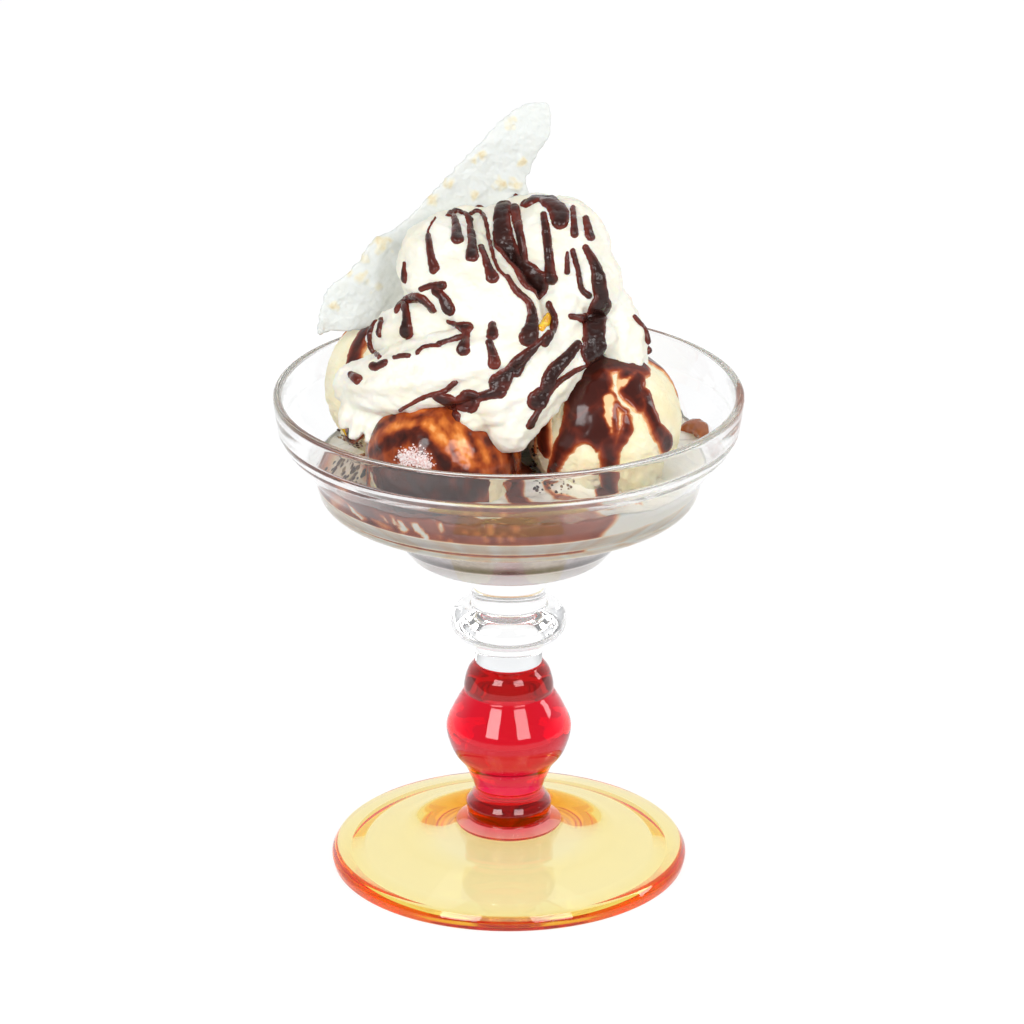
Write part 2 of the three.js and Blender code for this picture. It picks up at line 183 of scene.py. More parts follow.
def new_material(name, **values):
    """A material with a Principled shader, its sockets set by name."""
    material = bpy.data.materials.new(name)
    material.use_nodes = True
    shader = material.node_tree.nodes["Principled BSDF"]
    for socket, value in values.items():
        shader.inputs[socket.replace("_", " ")].default_value = value
    return material


def add(material, kind, inputs=(), **settings):
    """A node in a material. Inputs are set by name, or linked where a socket is given."""
    node = material.node_tree.nodes.new("ShaderNode" + kind)
    for key, value in settings.items():
        setattr(node, key, value)
    for key, value in dict(inputs).items():
        if isinstance(value, bpy.types.NodeSocket):
            material.node_tree.links.new(value, node.inputs[key])
        else:
            node.inputs[key].default_value = value
    return node


def link(material, socket, name):
    """Feeds a socket of the Principled shader."""
    shader = material.node_tree.nodes["Principled BSDF"]
    material.node_tree.links.new(socket, shader.inputs[name])


def object_noise(material, scale, detail=3.0, roughness=0.55, distortion=0.0):
    """Noise on Object coordinates, with its scale in bumps per metre."""
    where = add(material, "TexCoord").outputs["Object"]
    return add(material, "TexNoise", {
        "Vector": where, "Scale": scale, "Detail": detail,
        "Roughness": roughness, "Distortion": distortion,
    }).outputs["Fac"]


def ramp(material, factor, stops):
    """A colour ramp: stops are (place, colour)."""
    node = add(material, "ValToRGB", {"Fac": factor})
    elements = node.color_ramp.elements
    while len(elements) < len(stops):
        elements.new(0.5)
    for element, (place, colour) in zip(elements, stops):
        element.position = place
        element.color = (*colour, 1)
    return node.outputs["Color"]


def bumped(material, height, depth):
    """Feeds the Normal socket with a bump of a height pattern, depth in millimetres."""
    bump = add(material, "Bump", {"Height": height, "Strength": 1.0, "Distance": depth * MM})
    link(material, bump.outputs["Normal"], "Normal")


def srgb(red, green, blue):
    """A colour given as it looks on a screen, 0 to 255, as the linear one that shaders take."""
    shown = (c / 255 for c in (red, green, blue))
    return tuple(c / 12.92 if c <= 0.04045 else ((c + 0.055) / 1.055) ** 2.4 for c in shown)


# %% [markdown]
# The floor is the first to get a finish: matt paper that gives off light of its
# own, a little less towards the camera, where the shadows should hold.

# %% Paper for the floor
FLOOR_GLOW = 0.87
FLOOR_GLOW_IN_FRONT = 0.9 * FLOOR_GLOW
GLOW_RISES_OVER = (-0.45, -0.12)

paper = new_material("paper", Roughness=0.9, Emission_Color=(1, 1, 1, 1))
link(paper, ramp(paper, object_noise(paper, 3), [(0.3, (0.14, 0.14, 0.14)), (0.7, (0.16, 0.16, 0.16))]),
     "Base Color")
toward_back = add(paper, "SeparateXYZ", {"Vector": add(paper, "TexCoord").outputs["Object"]}).outputs["Y"]
glow = add(paper, "MapRange", {
    "Value": toward_back, "From Min": GLOW_RISES_OVER[0], "From Max": GLOW_RISES_OVER[1],
    "To Min": FLOOR_GLOW_IN_FRONT, "To Max": FLOOR_GLOW,
})
link(paper, glow.outputs["Result"], "Emission Strength")
floor_mesh.materials.append(paper)

print("materials:", [m.name for m in bpy.data.materials])

# %% [markdown]
# ## Pressed glass, turned as one outline
#
# The glass is pressed in a round mould, so a single outline spun about the
# upright axis gives the true form, wall thickness included. It could also be
# shaped from a cylinder with loop cuts, but an outline keeps every radius
# exact. Corners are rounded by arcs, because a sharp edge on glass makes a
# black hairline in the light that passes through it.

# %% Helpers for turned pieces
TURN_STEPS = 144
ARC_STEP = math.radians(9)


def rounded(corners):
    """An outline of (radius, height, rounding) with each rounding as a fine arc."""
    points = []
    for i, (r, z, *rounding) in enumerate(corners):
        corner = Vector((r, z))
        if not rounding:
            points.append(corner)
            continue
        back = (Vector(corners[i - 1][:2]) - corner).normalized()
        on = (Vector(corners[i + 1][:2]) - corner).normalized()
        half = math.acos(max(-1, min(1, back.dot(on)))) / 2
        centre = corner + (back + on).normalized() * rounding[0] / math.sin(half)
        start = corner + back * rounding[0] / math.tan(half) - centre
        sweep = math.copysign(math.pi - 2 * half, on.cross(back))
        steps = max(2, round(abs(sweep) / ARC_STEP))
        for k in range(steps + 1):
            points.append(centre + Matrix.Rotation(sweep * k / steps, 2) @ start)
    return points


def turned(outline, steps=TURN_STEPS):
    """A closed solid from an outline that starts and ends on the axis."""
    bm = bmesh.new()
    points = [bm.verts.new((p[0], 0, p[1])) for p in outline]
    edges = [bm.edges.new(pair) for pair in zip(points, points[1:])]
    bmesh.ops.spin(bm, geom=points + edges, axis=(0, 0, 1), cent=(0, 0, 0),
                   angle=2 * math.pi, steps=steps, use_merge=True)
    bmesh.ops.remove_doubles(bm, verts=bm.verts, dist=1e-4)
    bmesh.ops.recalc_face_normals(bm, faces=bm.faces)
    return bm


def finish(bm, name, material, node, slot, **attributes):
    """Scales a piece to metres, gives it its material and puts it in its solid's place."""
    bmesh.ops.scale(bm, vec=(MM, MM, MM), verts=bm.verts)
    mesh = bpy.data.meshes.new(name)
    bm.to_mesh(mesh)
    bm.free()
    mesh.shade_smooth()
    mesh.materials.append(material)
    for key, values in attributes.items():
        mesh.attributes.new(key, "FLOAT", "POINT").data.foreach_set("value", np.asarray(values, np.float32))
    piece = bpy.data.objects.new(name, mesh)
    bpy.context.scene.collection.objects.link(piece)
    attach(piece, "root")
    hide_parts(node)
    mesh.calc_loop_triangles()
    print(name, "has", len(mesh.loop_triangles), "triangles")


# %% [markdown]
# ## Three glasses
#
# Real glass is never quite even, so a low, wide bump makes reflections swim a
# little. Clear glass needs no more than that. Coloured glass gets its colour
# from the depth that light has travelled through it, which a Volume Absorption
# does: the thick middle of the stem turns deep ruby while its narrow waist is
# bright, and the rim of the foot glows orange because it is seen edge on.

# %% Glass materials


def glass(name, tint, wave, depth):
    """Smooth glass with a faint waviness."""
    material = new_material(name, Base_Color=(*tint, 1), Roughness=0.0, IOR=1.5, Transmission_Weight=1.0)
    bumped(material, object_noise(material, wave, 2.0), depth)
    return material


def absorbing(material, colour, density):
    """Light loses the rest of this colour on its way through."""
    inside = add(material, "VolumeAbsorption", {"Color": (*colour, 1), "Density": density})
    out = material.node_tree.nodes["Material Output"]
    material.node_tree.links.new(inside.outputs["Volume"], out.inputs["Volume"])


clear_glass = glass("clear glass", (0.99, 0.992, 0.992), 90, 0.001)
ruby_glass = glass("ruby glass", (0.99, 0.97, 0.97), 110, 0.05)
absorbing(ruby_glass, (0.967, 0.0, 0.55), 290)
amber_glass = glass("amber glass", (0.99, 0.985, 0.97), 60, 0.03)
absorbing(amber_glass, (0.993, 0.86, 0.08), 150)
print("glasses:", [m.name for m in (clear_glass, ruby_glass, amber_glass)])

# %% [markdown]
# ## The bowl
#
# The bowl steps out twice: a small well at the bottom, a wide tier, and a tall
# collar with a rounded rim. Below the well are a short neck and a fat ring
# knop, pressed in the same clear glass.

# %% Bowl
bowl_low, bowl_high = (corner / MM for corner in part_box("glass_bowl"))
RIM_RADIUS = bowl_high.x
RIM_HEIGHT = bowl_high.z
WALL = 2.3
TIER_RADIUS = 54.3
TIER_FLOOR = 111
LEDGE = 5.5
WELL_RADIUS = 27.6
WELL_FLOOR = 94.2
BASE = 5.2
KNOP_RADIUS = 16.25
JOINT_RADIUS = 9.4
JOINT_HEIGHT = bowl_low.z
COLLAR_FOOT = RIM_HEIGHT - 9.7


def hollow(gap):
    """The inside of the bowl, from its floor up, pulled in from the wall by a gap."""
    return [
        (0, WELL_FLOOR + BASE + gap),
        (WELL_RADIUS - 2 - gap, WELL_FLOOR + BASE + gap, 2.5),
        (WELL_RADIUS + 7.8 - gap, TIER_FLOOR + LEDGE - 4.6 + gap, 4),
        (TIER_RADIUS - 4.1 - gap, TIER_FLOOR + LEDGE + gap, 3),
        (TIER_RADIUS - 2.4 - gap, TIER_FLOOR + 8.9, 6),
        (RIM_RADIUS - 5 - gap, COLLAR_FOOT - 1.5, 2.5),
        (RIM_RADIUS - 3.4 - gap, COLLAR_FOOT + 1, 2),
    ]


bowl_outline = rounded([
    (0, JOINT_HEIGHT),
    (JOINT_RADIUS, JOINT_HEIGHT, 0.3),
    (JOINT_RADIUS, 68.1, 1),
    (KNOP_RADIUS, 68.1, 4.9),
    (KNOP_RADIUS, 78, 4.9),
    (10.5, 78, 0.8),
    (10.5, 90.8, 4),
    (WELL_RADIUS, WELL_FLOOR, 3),
    (WELL_RADIUS + 9.9, TIER_FLOOR - 4.5, 4),
    (TIER_RADIUS - 2.1, TIER_FLOOR, 4.5),
    (TIER_RADIUS, TIER_FLOOR + 8, 6),
    (RIM_RADIUS - 2.7, COLLAR_FOOT - 3, 3),
    (RIM_RADIUS - 1.1, COLLAR_FOOT, 2),
    (RIM_RADIUS, RIM_HEIGHT - 1.8),
    (RIM_RADIUS, RIM_HEIGHT, 1.1),
    (RIM_RADIUS - WALL, RIM_HEIGHT, 1.1),
] + hollow(0)[::-1])
finish(turned(bowl_outline), "bowl", clear_glass, "glass_bowl", "clear_glass")

# %% [markdown]
# ## The stem
#
# A ruby baluster swells from a narrow waist and runs up to the clear joint. A
# round bead and a flat button hold it in the foot. The swelling is one smooth
# curve through a few radii, where the bead and the button are corners with
# arcs.

# %% Stem
JOINT_GAP = 0.05
BUTTON_RADIUS = 15
BUTTON_TOP = 12
BUTTON_BOTTOM = 10.4
BALUSTER = [(9.4, 22), (12.2, 29), (15.8, 34), (17.6, 40.8), (15.7, 46.2), (13.4, 50.4), (12.4, 51.9),
            (12.6, 53.2), (12.2, 55.6), (11.3, 58.2), (9.5, JOINT_HEIGHT - JOINT_GAP)]


def smooth_path(points, count):
    """Points along a smooth curve through the given ones, which may hold widths too."""
    rows = np.array(points, float)
    rows = np.vstack([2 * rows[0] - rows[1], rows, 2 * rows[-1] - rows[-2]])
    place = np.linspace(0, len(points) - 1, count)
    first = np.minimum(place.astype(int), len(points) - 2)
    t = (place - first)[:, None]
    a, b, c, d = (rows[first + k] for k in range(4))
    square, cube = 2 * a - 5 * b + 4 * c - d, 3 * b - a - 3 * c + d
    return 0.5 * (2 * b + (c - a) * t + square * t ** 2 + cube * t ** 3)


stem_outline = rounded([
    (0, BUTTON_BOTTOM),
    (BUTTON_RADIUS, BUTTON_BOTTOM, 0.5),
    (BUTTON_RADIUS, BUTTON_TOP, 0.6),
    (11.5, BUTTON_TOP + 1.6, 0.8),
    (12.1, BUTTON_TOP + 5.6, 2),
    (9.4, 22),
])[:-1] + [Vector(p) for p in smooth_path(BALUSTER, 60)] + [Vector((0, JOINT_HEIGHT - JOINT_GAP))]
finish(turned(stem_outline), "stem", ruby_glass, "glass_stem", "ruby_glass")

# %% [markdown]
# ## The foot
#
# The amber foot is a thin dome that stands on a ring. Its hollow underside
# follows the top, so that light passes straight through and the glass looks
# evenly golden. With a flat underside it would be a mirror where it slopes.
# The real foot is fused to the ruby button. Where two glasses only touch, the
# hairline of air between them would be a mirror, so here the seat overlaps the
# button by a few hundredths of a millimetre and the eye sees straight through
# the joint.

# %% Foot
FOOT_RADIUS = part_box("glass_foot")[1].x / MM + 0.2
FUSED = 0.04
SEAT = BUTTON_RADIUS - FUSED
FOOT_EDGE = 4.7
RING_INSIDE = 43.5
UNDERSIDE_HEIGHT = 6

foot_outline = rounded([
    (0, UNDERSIDE_HEIGHT - 0.6),
    (16, UNDERSIDE_HEIGHT, 20),
    (RING_INSIDE - 3.5, 1.8, 4),
    (RING_INSIDE + 0.5, 0, 0.8),
    (FOOT_RADIUS - 0.5, 0, 0.7),
    (FOOT_RADIUS, 2.4, 1.8),
    (FOOT_RADIUS - 1.4, FOOT_EDGE, 1.3),
    (32, 8, 60),
    (SEAT, BUTTON_TOP),
    (SEAT, BUTTON_BOTTOM + FUSED),
    (0, BUTTON_BOTTOM + FUSED),
])
finish(turned(foot_outline), "foot", amber_glass, "glass_foot", "amber_glass")

# %% [markdown]
# ## Reading the sauce from the front
#
# Sauce runs where it was poured, so its runs are set down as they are seen
# from the front: points across and up, in millimetres, in the upright plane
# through the middle of the glass. A ray from the camera carries each point on
# to the food behind or in front of that plane. From there on a run is a line
# in space, so it looks right from the side as well. Painting a flat picture
# over the food would smear it as soon as one walks round.

# %% Helpers for runs of sauce


def coordinates(bm):
    """The places of a mesh's vertices as one array."""
    return np.array([v.co for v in bm.verts])


def move_to(bm, places):
    """Puts each vertex at its row of the array."""
    for vertex, place in zip(bm.verts, places):
        vertex.co = place


def noise_at(places, size, seed=0.0, octaves=1):
    """Smooth noise at each place, about -1 to 1, with bumps of a size in millimetres."""
    shift = Vector((seed, 2.3 * seed, -1.7 * seed))
    if octaves == 1:
        return np.array([noise.noise(Vector(p) / size + shift) for p in places])
    return np.array([noise.fractal(Vector(p) / size + shift, 0.7, 2.0, octaves) for p in places])


def poured(surface, seen, eye=EYE):
    """Carries points (across, up) from the plane through the glass on to a surface."""
    hits = []
    for across, up in seen:
        toward = (Vector((across, 0, up)) - eye).normalized()
        place = surface.ray_cast(eye, toward)[0]
        if place is None:
            near = eye + toward * (Vector((across, 0, up)) - eye).length
            place = surface.find_nearest(near)[0]
        hits.append(place)
    return hits


def within(places, runs):
    """How far each place lies inside the nearest run, in millimetres. Outside, it is below zero.
    A run is (points in space, widths), and it is rounded at both ends."""
    best = np.full(len(places), -50.0)
    for points, widths in runs:
        widths = np.interp(np.linspace(0, 1, len(points)), np.linspace(0, 1, len(widths)), widths)
        for a, b, wide_a, wide_b in zip(points, points[1:], widths, widths[1:]):
            a, b = np.array(a), np.array(b)
            span = b - a
            t = np.clip((places - a) @ span / max(span @ span, 1e-9), 0, 1)
            gap = np.linalg.norm(places - a - t[:, None] * span, axis=1)
            best = np.maximum(best, (wide_a + (wide_b - wide_a) * t) / 2 - gap)
    return best


def bead(depth, height, round_over):
    """The height of a sauce edge: a quarter round, then flat. Below zero it dives under the surface."""
    t = np.clip(depth / round_over, 0, 1)
    return np.where(depth > 0, height * np.sqrt(1 - (1 - t) ** 2), np.maximum(depth, -0.5))


def smooth(bm, times):
    """Moves each vertex half of the way to the middle of its neighbours, so many times."""
    for _ in range(times):
        bmesh.ops.smooth_vert(bm, verts=bm.verts, factor=0.5, use_axis_x=True, use_axis_y=True,
                              use_axis_z=True)
    bm.normal_update()


def sauce_skin(base, depth_at, height, round_over, cuts, keep=-0.8, smoothing=1):
    """A skin of sauce over a mesh: a copy of the faces near it, cut finer, raised where there is
    sauce and dipped under the surface where there is none. It comes back with its depths."""
    bm = base.copy()
    bm.verts.ensure_lookup_table()
    depth = depth_at(coordinates(bm))
    bare = [f for f in bm.faces if max(depth[v.index] for v in f.verts) < keep]
    bmesh.ops.delete(bm, geom=bare, context="FACES")
    if cuts:
        bmesh.ops.subdivide_edges(bm, edges=bm.edges, cuts=cuts, use_grid_fill=True)
    smooth(bm, smoothing)
    places = coordinates(bm)
    normals = np.array([v.normal for v in bm.verts])
    depth = depth_at(places)
    move_to(bm, places + normals * bead(depth, height, round_over)[:, None])
    return bm, depth


# %% [markdown]
# ## Ice cream and sauce materials
#
# Ice cream is pale and soft to the eye because light goes in a little way and
# comes out again, which is subsurface scattering. Its surface has fine icy
# grain and small pits. Chocolate sauce is nearly black where it is deep and a
# warm red brown where it is thin, so its colour follows how deep the sauce is
# at each point, kept as an attribute on the mesh. A smooth, clear shine goes
# over every brown.

# %% Food materials


def attribute(material, name):
    """A mesh attribute, read as a number."""
    return add(material, "Attribute", attribute_name=name, attribute_type="GEOMETRY").outputs["Fac"]


def math_node(material, operation, a, b=0.0, clamp=False):
    """Two numbers joined by an operation."""
    node = add(material, "Math", operation=operation, use_clamp=clamp)
    for socket, value in zip(node.inputs, (a, b)):
        if isinstance(value, bpy.types.NodeSocket):
            material.node_tree.links.new(value, socket)
        else:
            socket.default_value = value
    return node.outputs["Value"]


def mixed(material, factor, a, b):
    """One colour going over into another. The Mix node has its colours at sockets 6 and 7."""
    node = add(material, "Mix", data_type="RGBA")
    for number, value in ((0, factor), (6, a), (7, b)):
        material.node_tree.links.new(value, node.inputs[number])
    return node.outputs[2]


def soft_food(name, pale, deep, grain, grain_depth, roughness, glow):
    """A pale food that light sinks into, with cloudy colour and a fine grain."""
    material = new_material(name, Roughness=roughness, IOR=1.4, Subsurface_Weight=glow,
                            Subsurface_Radius=(1.0, 0.6, 0.35), Subsurface_Scale=2.2 * MM)
    clouds = object_noise(material, 90, 4.0)
    link(material, ramp(material, clouds, [(0.35, deep), (0.62, pale)]), "Base Color")
    fine = object_noise(material, grain, 6.0, 0.7)
    pits = add(material, "MapRange", {"Value": fine, "From Min": 0.35, "From Max": 0.65})
    bumped(material, pits.outputs["Result"], grain_depth)
    return material


vanilla = soft_food("vanilla ice cream", srgb(255, 245, 214), srgb(254, 236, 190), 900, 0.12, 0.5, 0.35)


def sauce_material(name, roughness, stops):
    """Chocolate sauce: a ramp over its depth, stirred by a slow swirl of noise."""
    material = new_material(name, Roughness=roughness, IOR=1.36, Coat_Weight=0.1, Coat_Roughness=0.04)
    swirl = math_node(material, "SUBTRACT", object_noise(material, 150, 2.0, 0.5, 1.0), 0.5)
    depth = attribute(material, "depth")
    wide = math_node(material, "MULTIPLY", math_node(material, "MULTIPLY", swirl, depth), 1.5)
    link(material, ramp(material, math_node(material, "ADD", depth, wide, clamp=True), stops), "Base Color")
    bumped(material, object_noise(material, 190, 2.0), 0.2)
    return material


drizzled = sauce_material("drizzled sauce", 0.26, [
    (0.0, srgb(116, 46, 33)), (0.3, srgb(86, 33, 26)), (0.6, srgb(58, 27, 22)), (1.0, srgb(44, 23, 20))])
sauce = sauce_material("sauce on ice cream", 0.16, [
    (0.0, srgb(240, 200, 150)), (0.1, srgb(206, 128, 78)), (0.28, srgb(150, 64, 34)),
    (0.6, srgb(106, 40, 26)), (1.0, srgb(66, 27, 21))])
glaze = sauce_material("caramel glaze", 0.16, [
    (0.0, srgb(248, 186, 112)), (0.22, srgb(216, 122, 52)), (0.46, srgb(162, 72, 30)),
    (0.72, srgb(94, 36, 22)), (1.0, srgb(54, 24, 19))])
print("foods:", [m.name for m in (vanilla, drizzled, sauce, glaze)])

# %% [markdown]
# ## Balls of ice cream
#
# A scoop turns out a ball with a low, even dome and a torn skirt where it was
# pulled from the tub. A sphere of small triangles moved by noise gives both,
# with coarse noise for lumps and finer, stronger noise below. A smooth sphere
# with only a bump map would have a perfect edge against the light, and real
# ice cream never has one.

# %% Scoops
SCOOPS = {
    "scoop_right": (Vector((26, -11, 135.5)), 21.5, 1.3),
    "scoop_front_left": (Vector((-18, -21, 129)), 21, 2.7),
    "scoop_back_left": (Vector((-29.5, 12, 138)), 21.5, 4.1),
    "scoop_back_right": (Vector((9, 27, 137)), 21, 5.9),
}
SPHERE_STEPS = 7


def ball_of_ice_cream(centre, radius, seed):
    """A ball with lumps on the dome, a torn skirt below and fine pits all over."""
    bm = bmesh.new()
    bmesh.ops.create_icosphere(bm, subdivisions=SPHERE_STEPS, radius=1)
    round_places = coordinates(bm)
    skirt = np.clip((0.15 - round_places[:, 2]) / 0.5, 0, 1)
    lumps = 0.5 * noise_at(round_places, 0.5, seed) + 0.22 * noise_at(round_places, 0.16, seed + 9, 3)
    torn = 1.1 * skirt * np.abs(noise_at(round_places, 0.24, seed + 3, 4))
    pits = 0.10 * noise_at(round_places, 0.035, seed + 5, 2)
    out = radius + lumps - torn + pits
    places = round_places * out[:, None] + np.array(centre)
    inside = [corner[:2] for corner in hollow(-0.2)[:5]]
    floor_under = np.interp(np.hypot(places[:, 0], places[:, 1]), *zip(*inside))
    places[:, 2] = np.maximum(places[:, 2], floor_under)
    move_to(bm, places)
    bm.normal_update()
    return bm


balls = {name: ball_of_ice_cream(*shape) for name, shape in SCOOPS.items()}
ball_surfaces = {name: BVHTree.FromBMesh(bm) for name, bm in balls.items()}
print({name: len(bm.verts) for name, bm in balls.items()})

# %% [markdown]
# ## Sauce over the right scoop
#
# Sauce was poured over the top and hangs down in three drapes, with arches of
# bare ice cream between them. The drapes are fat lines laid on the ball. The
# arches and a few thin places are taken away again. Only the part of the skin
# that shows is kept, so the sauce is a thin layer with a rounded edge that
# stands proud of the ice cream, as real sauce does.

# %% Runs on the right scoop
RIGHT_RUNS = [
    ([(18.5, 145), (23, 148.5), (29, 150), (36, 148)], (8.4, 10.1, 9.6, 7.3)),
    ([(22.5, 144.5), (22, 138.5), (22.5, 132.5), (23, 128)], (12.4, 14.6, 14.6, 10.1)),
    ([(19, 134), (16.5, 126.5), (13, 118.5), (12, 114.5)], (8.4, 7.3, 4.8, 3.9)),
    ([(26.5, 138.5), (27, 131), (27.5, 125), (28, 117.5), (28, 113)], (7.3, 7.3, 6.2, 5.6, 5.6)),
    ([(34, 145), (34, 141), (36, 137.5)], (8.4, 8.4, 6.2)),
    ([(37, 140), (38.5, 135), (40.5, 130), (43.5, 125.5)], (5.6, 5.1, 5.1, 6.2)),
    ([(28.5, 138.5), (30.5, 136.5), (32.5, 135)], (2.8, 2.2, 2.2)),
    ([(32.5, 133), (32.5, 130), (31, 126.5), (28.5, 123)], (3.4, 3.9, 3.9, 3.4)),
    ([(11.5, 135), (8.5, 129), (7.5, 123.5), (7, 117)], (1, 1.3, 1.6, 2)),
]
RIGHT_PALE = [
    ([(28, 141), (31, 143), (34.5, 146)], (1.7, 3.4, 1.4)),
    ([(27.5, 138.5), (27.5, 134), (28.5, 129), (28.5, 126.5)], (3.9, 3.1, 2, 0.8)),
    ([(31.5, 137), (34, 135.5), (35, 132.5), (34.5, 129.5)], (1.4, 2, 2, 1.1)),
]
RIGHT_BARE = [
    ([(21, 122), (20.5, 118.5), (19, 113)], (6.2, 9.6, 11.8)),
    ([(36.5, 127.5), (36.5, 122), (36.5, 114.5)], (3.4, 9.6, 12.9)),
]
print("runs on the right scoop:", len(RIGHT_RUNS))

# %% [markdown]
# Every scoop is dressed in the same way: its runs are laid on the ball, the
# depth of sauce is worked out at each point, and the skin is raised by it. The
# depth also sets the colour. Where sauce was drawn thin, only the colour is
# lighter.

# %% Helpers for a dressed scoop
EDGE_WOBBLE = 0.35
SAUCE_HEIGHT = 0.75
SAUCE_ROUNDING = 1.1
DARK_FROM = 2.2


def laid(surface, runs):
    """Runs seen from the front, laid on a surface."""
    return [(poured(surface, seen), widths) for seen, widths in runs]


def over_a_ball(name, runs, bare=(), thin=(), behind=()):
    """The depth of sauce over a ball, as a function of place, and how thin it is drawn."""
    surface = ball_surfaces[name]
    on, off, faint = laid(surface, runs) + list(behind), laid(surface, bare), laid(surface, thin)

    def depth_at(places):
        wobble = EDGE_WOBBLE * noise_at(places, 2.2, 1.0, 2)
        depth = within(places, on) + wobble
        if off:
            depth = np.minimum(depth, -within(places, off) + wobble)
        return depth

    def thinness_at(places):
        if not faint:
            return np.zeros(len(places))
        streaks = 0.3 * noise_at(places, 1.6, 8.0, 2)
        return np.clip(within(places, faint) * 1.3 + 0.5 + streaks, 0, 1)

    return depth_at, thinness_at


def around(name, azimuth, elevations, drop=0.0):
    """Points down the side of a ball, at an azimuth that is 0 in front and 90 at the right."""
    centre, radius, _ = SCOOPS[name]
    points = []
    for k, elevation in enumerate(elevations):
        turn, rise = math.radians(azimuth + drop * k), math.radians(elevation)
        points.append(centre + radius * Vector((
            math.sin(turn) * math.cos(rise), -math.cos(turn) * math.cos(rise), math.sin(rise))))
    return points


def dress_scoop(name, label, depth_at, thinness_at):
    """A ball and its sauce as two pieces in the place of one solid."""
    bm, depth = sauce_skin(balls[name], depth_at, SAUCE_HEIGHT, SAUCE_ROUNDING, 0, smoothing=8)
    shade = np.clip(depth / DARK_FROM, 0, 1) * (1 - thinness_at(coordinates(bm)))
    finish(bm, label + "_sauce", sauce, name, "chocolate_sauce", depth=shade)
    finish(balls[name], label, vanilla, name, "vanilla_ice_cream")


# %% [markdown]
# The far side has runs too, set by their azimuth round the ball, since no
# camera in front can see them.

# %% Right scoop
right_behind = [
    (around("scoop_right", 100, (80, 60, 40, 22, 8), 3), (9, 6, 4, 3.6, 4.2)),
    (around("scoop_right", 128, (80, 64, 46, 34)), (9, 5, 3.6, 4)),
    (around("scoop_right", 158, (80, 60, 38, 16, 2), -2), (10, 7, 4.4, 3.6, 4)),
    (around("scoop_right", -60, (80, 50, 20, -4), 4), (9, 7, 5, 6)),
]
dress_scoop("scoop_right", "scoop_of_vanilla_right",
            *over_a_ball("scoop_right", RIGHT_RUNS, RIGHT_BARE, RIGHT_PALE, right_behind))

# %% [markdown]
# ## Glaze over the front scoop
#
# The front scoop is coated all over: the sauce has been drawn thin, so the
# ice cream shines through in caramel streaks between dark swirls. The coat is
# one skin round the whole dome, and its colour follows how thin it was drawn
# along a few strokes.

# %% Strokes on the front scoop
FRONT_DARK = [
    ([(-38.5, 121.5), (-35.5, 124.5), (-30.5, 127), (-24.5, 128), (-20, 124.5), (-17, 119), (-15.5, 114.5)],
     (2.2, 2.8, 3.4, 3.7, 3.4, 3.4, 3.9)),
    ([(-38, 119), (-33, 117.5), (-30, 115.5)], (3.4, 3.9, 4.5)),
    ([(-33.5, 112.5), (-24.5, 111), (-15, 111), (-8.5, 112.5)], (7.3, 9.6, 9.6, 6.7)),
    ([(-6, 126.5), (-4.5, 122), (-3.5, 116)], (1.4, 1.7, 2.2)),
    ([(-1, 126.5), (0.5, 122), (1, 117.5)], (2.8, 3.4, 3.9)),
    ([(-38.5, 129), (-35.5, 131), (-31.5, 132.5)], (1.6, 1.4, 1)),
    ([(-8, 130.5), (-5, 128.5), (-2.5, 126.5)], (1, 1.2, 1.7)),
    ([(-17.5, 130), (-15.5, 125), (-14.5, 120)], (1.1, 1.4, 1.7)),
    ([(-11.5, 128), (-9.5, 123)], (0.8, 1.1)),
    ([(-15, 117.5), (-10.5, 116.5)], (3.4, 3.9)),
]
FRONT_CARAMEL = [
    ([(-34, 129), (-31, 130.5), (-26, 131)], (1.0, 1.8, 1.6)),
    ([(-22.5, 131.5), (-19, 127), (-17.5, 123)], (2.6, 4.4, 2.4)),
    ([(-14, 129.5), (-12.5, 124.5), (-11.5, 119)], (2.6, 4.2, 2.4)),
    ([(-18, 131.5), (-15, 127.5), (-14, 121)], (1.6, 2.6, 1.4)),
    ([(-8.5, 125.5), (-6.5, 121.5)], (1.7, 2.2)),
]
FRONT_BARE = [
    ([(-37.5, 113.5), (-36, 110)], (5, 7)),
    ([(-4, 112), (-3, 108)], (4, 7)),
]
print("strokes on the front scoop:", len(FRONT_DARK), "dark and", len(FRONT_CARAMEL), "pale")

# %% [markdown]
# The coat's colour starts from a middling brown. Dark strokes deepen it, pale
# ones lighten it, and a fine noise drawn out downwards looks brushed.

# %% Front scoop
FRONT_EDGE = -0.55
COAT_SHADE = 0.54
STROKE_DARKENS = 0.42
STROKE_LIGHTENS = 0.4
COAT_HEIGHT = 0.55
COAT_ROUNDING = 1.1


def coated(name, bare, dark, pale, edge):
    """A coat over a whole ball down to a ragged edge, by height as a share of its radius."""
    surface = ball_surfaces[name]
    centre, radius, seed = SCOOPS[name]
    off, swirls, flames = laid(surface, bare), laid(surface, dark), laid(surface, pale)

    def depth_at(places):
        wobble = noise_at(places, 3.0, seed, 3)
        depth = np.minimum(places[:, 2] - centre.z - edge * radius + 2.0 * wobble, 4)
        return np.minimum(depth, -within(places, off) + EDGE_WOBBLE * wobble)

    def shade_at(places):
        brushed = 0.15 * noise_at(places * (1, 1, 0.5), 2.2, seed + 2, 3)
        behind = np.clip((places[:, 1] - centre.y + 4) / 8, 0, 1)
        behind *= 0.25 + 0.6 * noise_at(places, 7.0, seed, 2)
        dark_part = STROKE_DARKENS * np.clip(within(places, swirls) / 2.6 + 0.45, 0, 1)
        pale_part = STROKE_LIGHTENS * np.clip(within(places, flames) / 2.0 + 0.6, 0, 1)
        return np.clip(COAT_SHADE + dark_part - pale_part + behind + brushed, 0, 1)

    return depth_at, shade_at


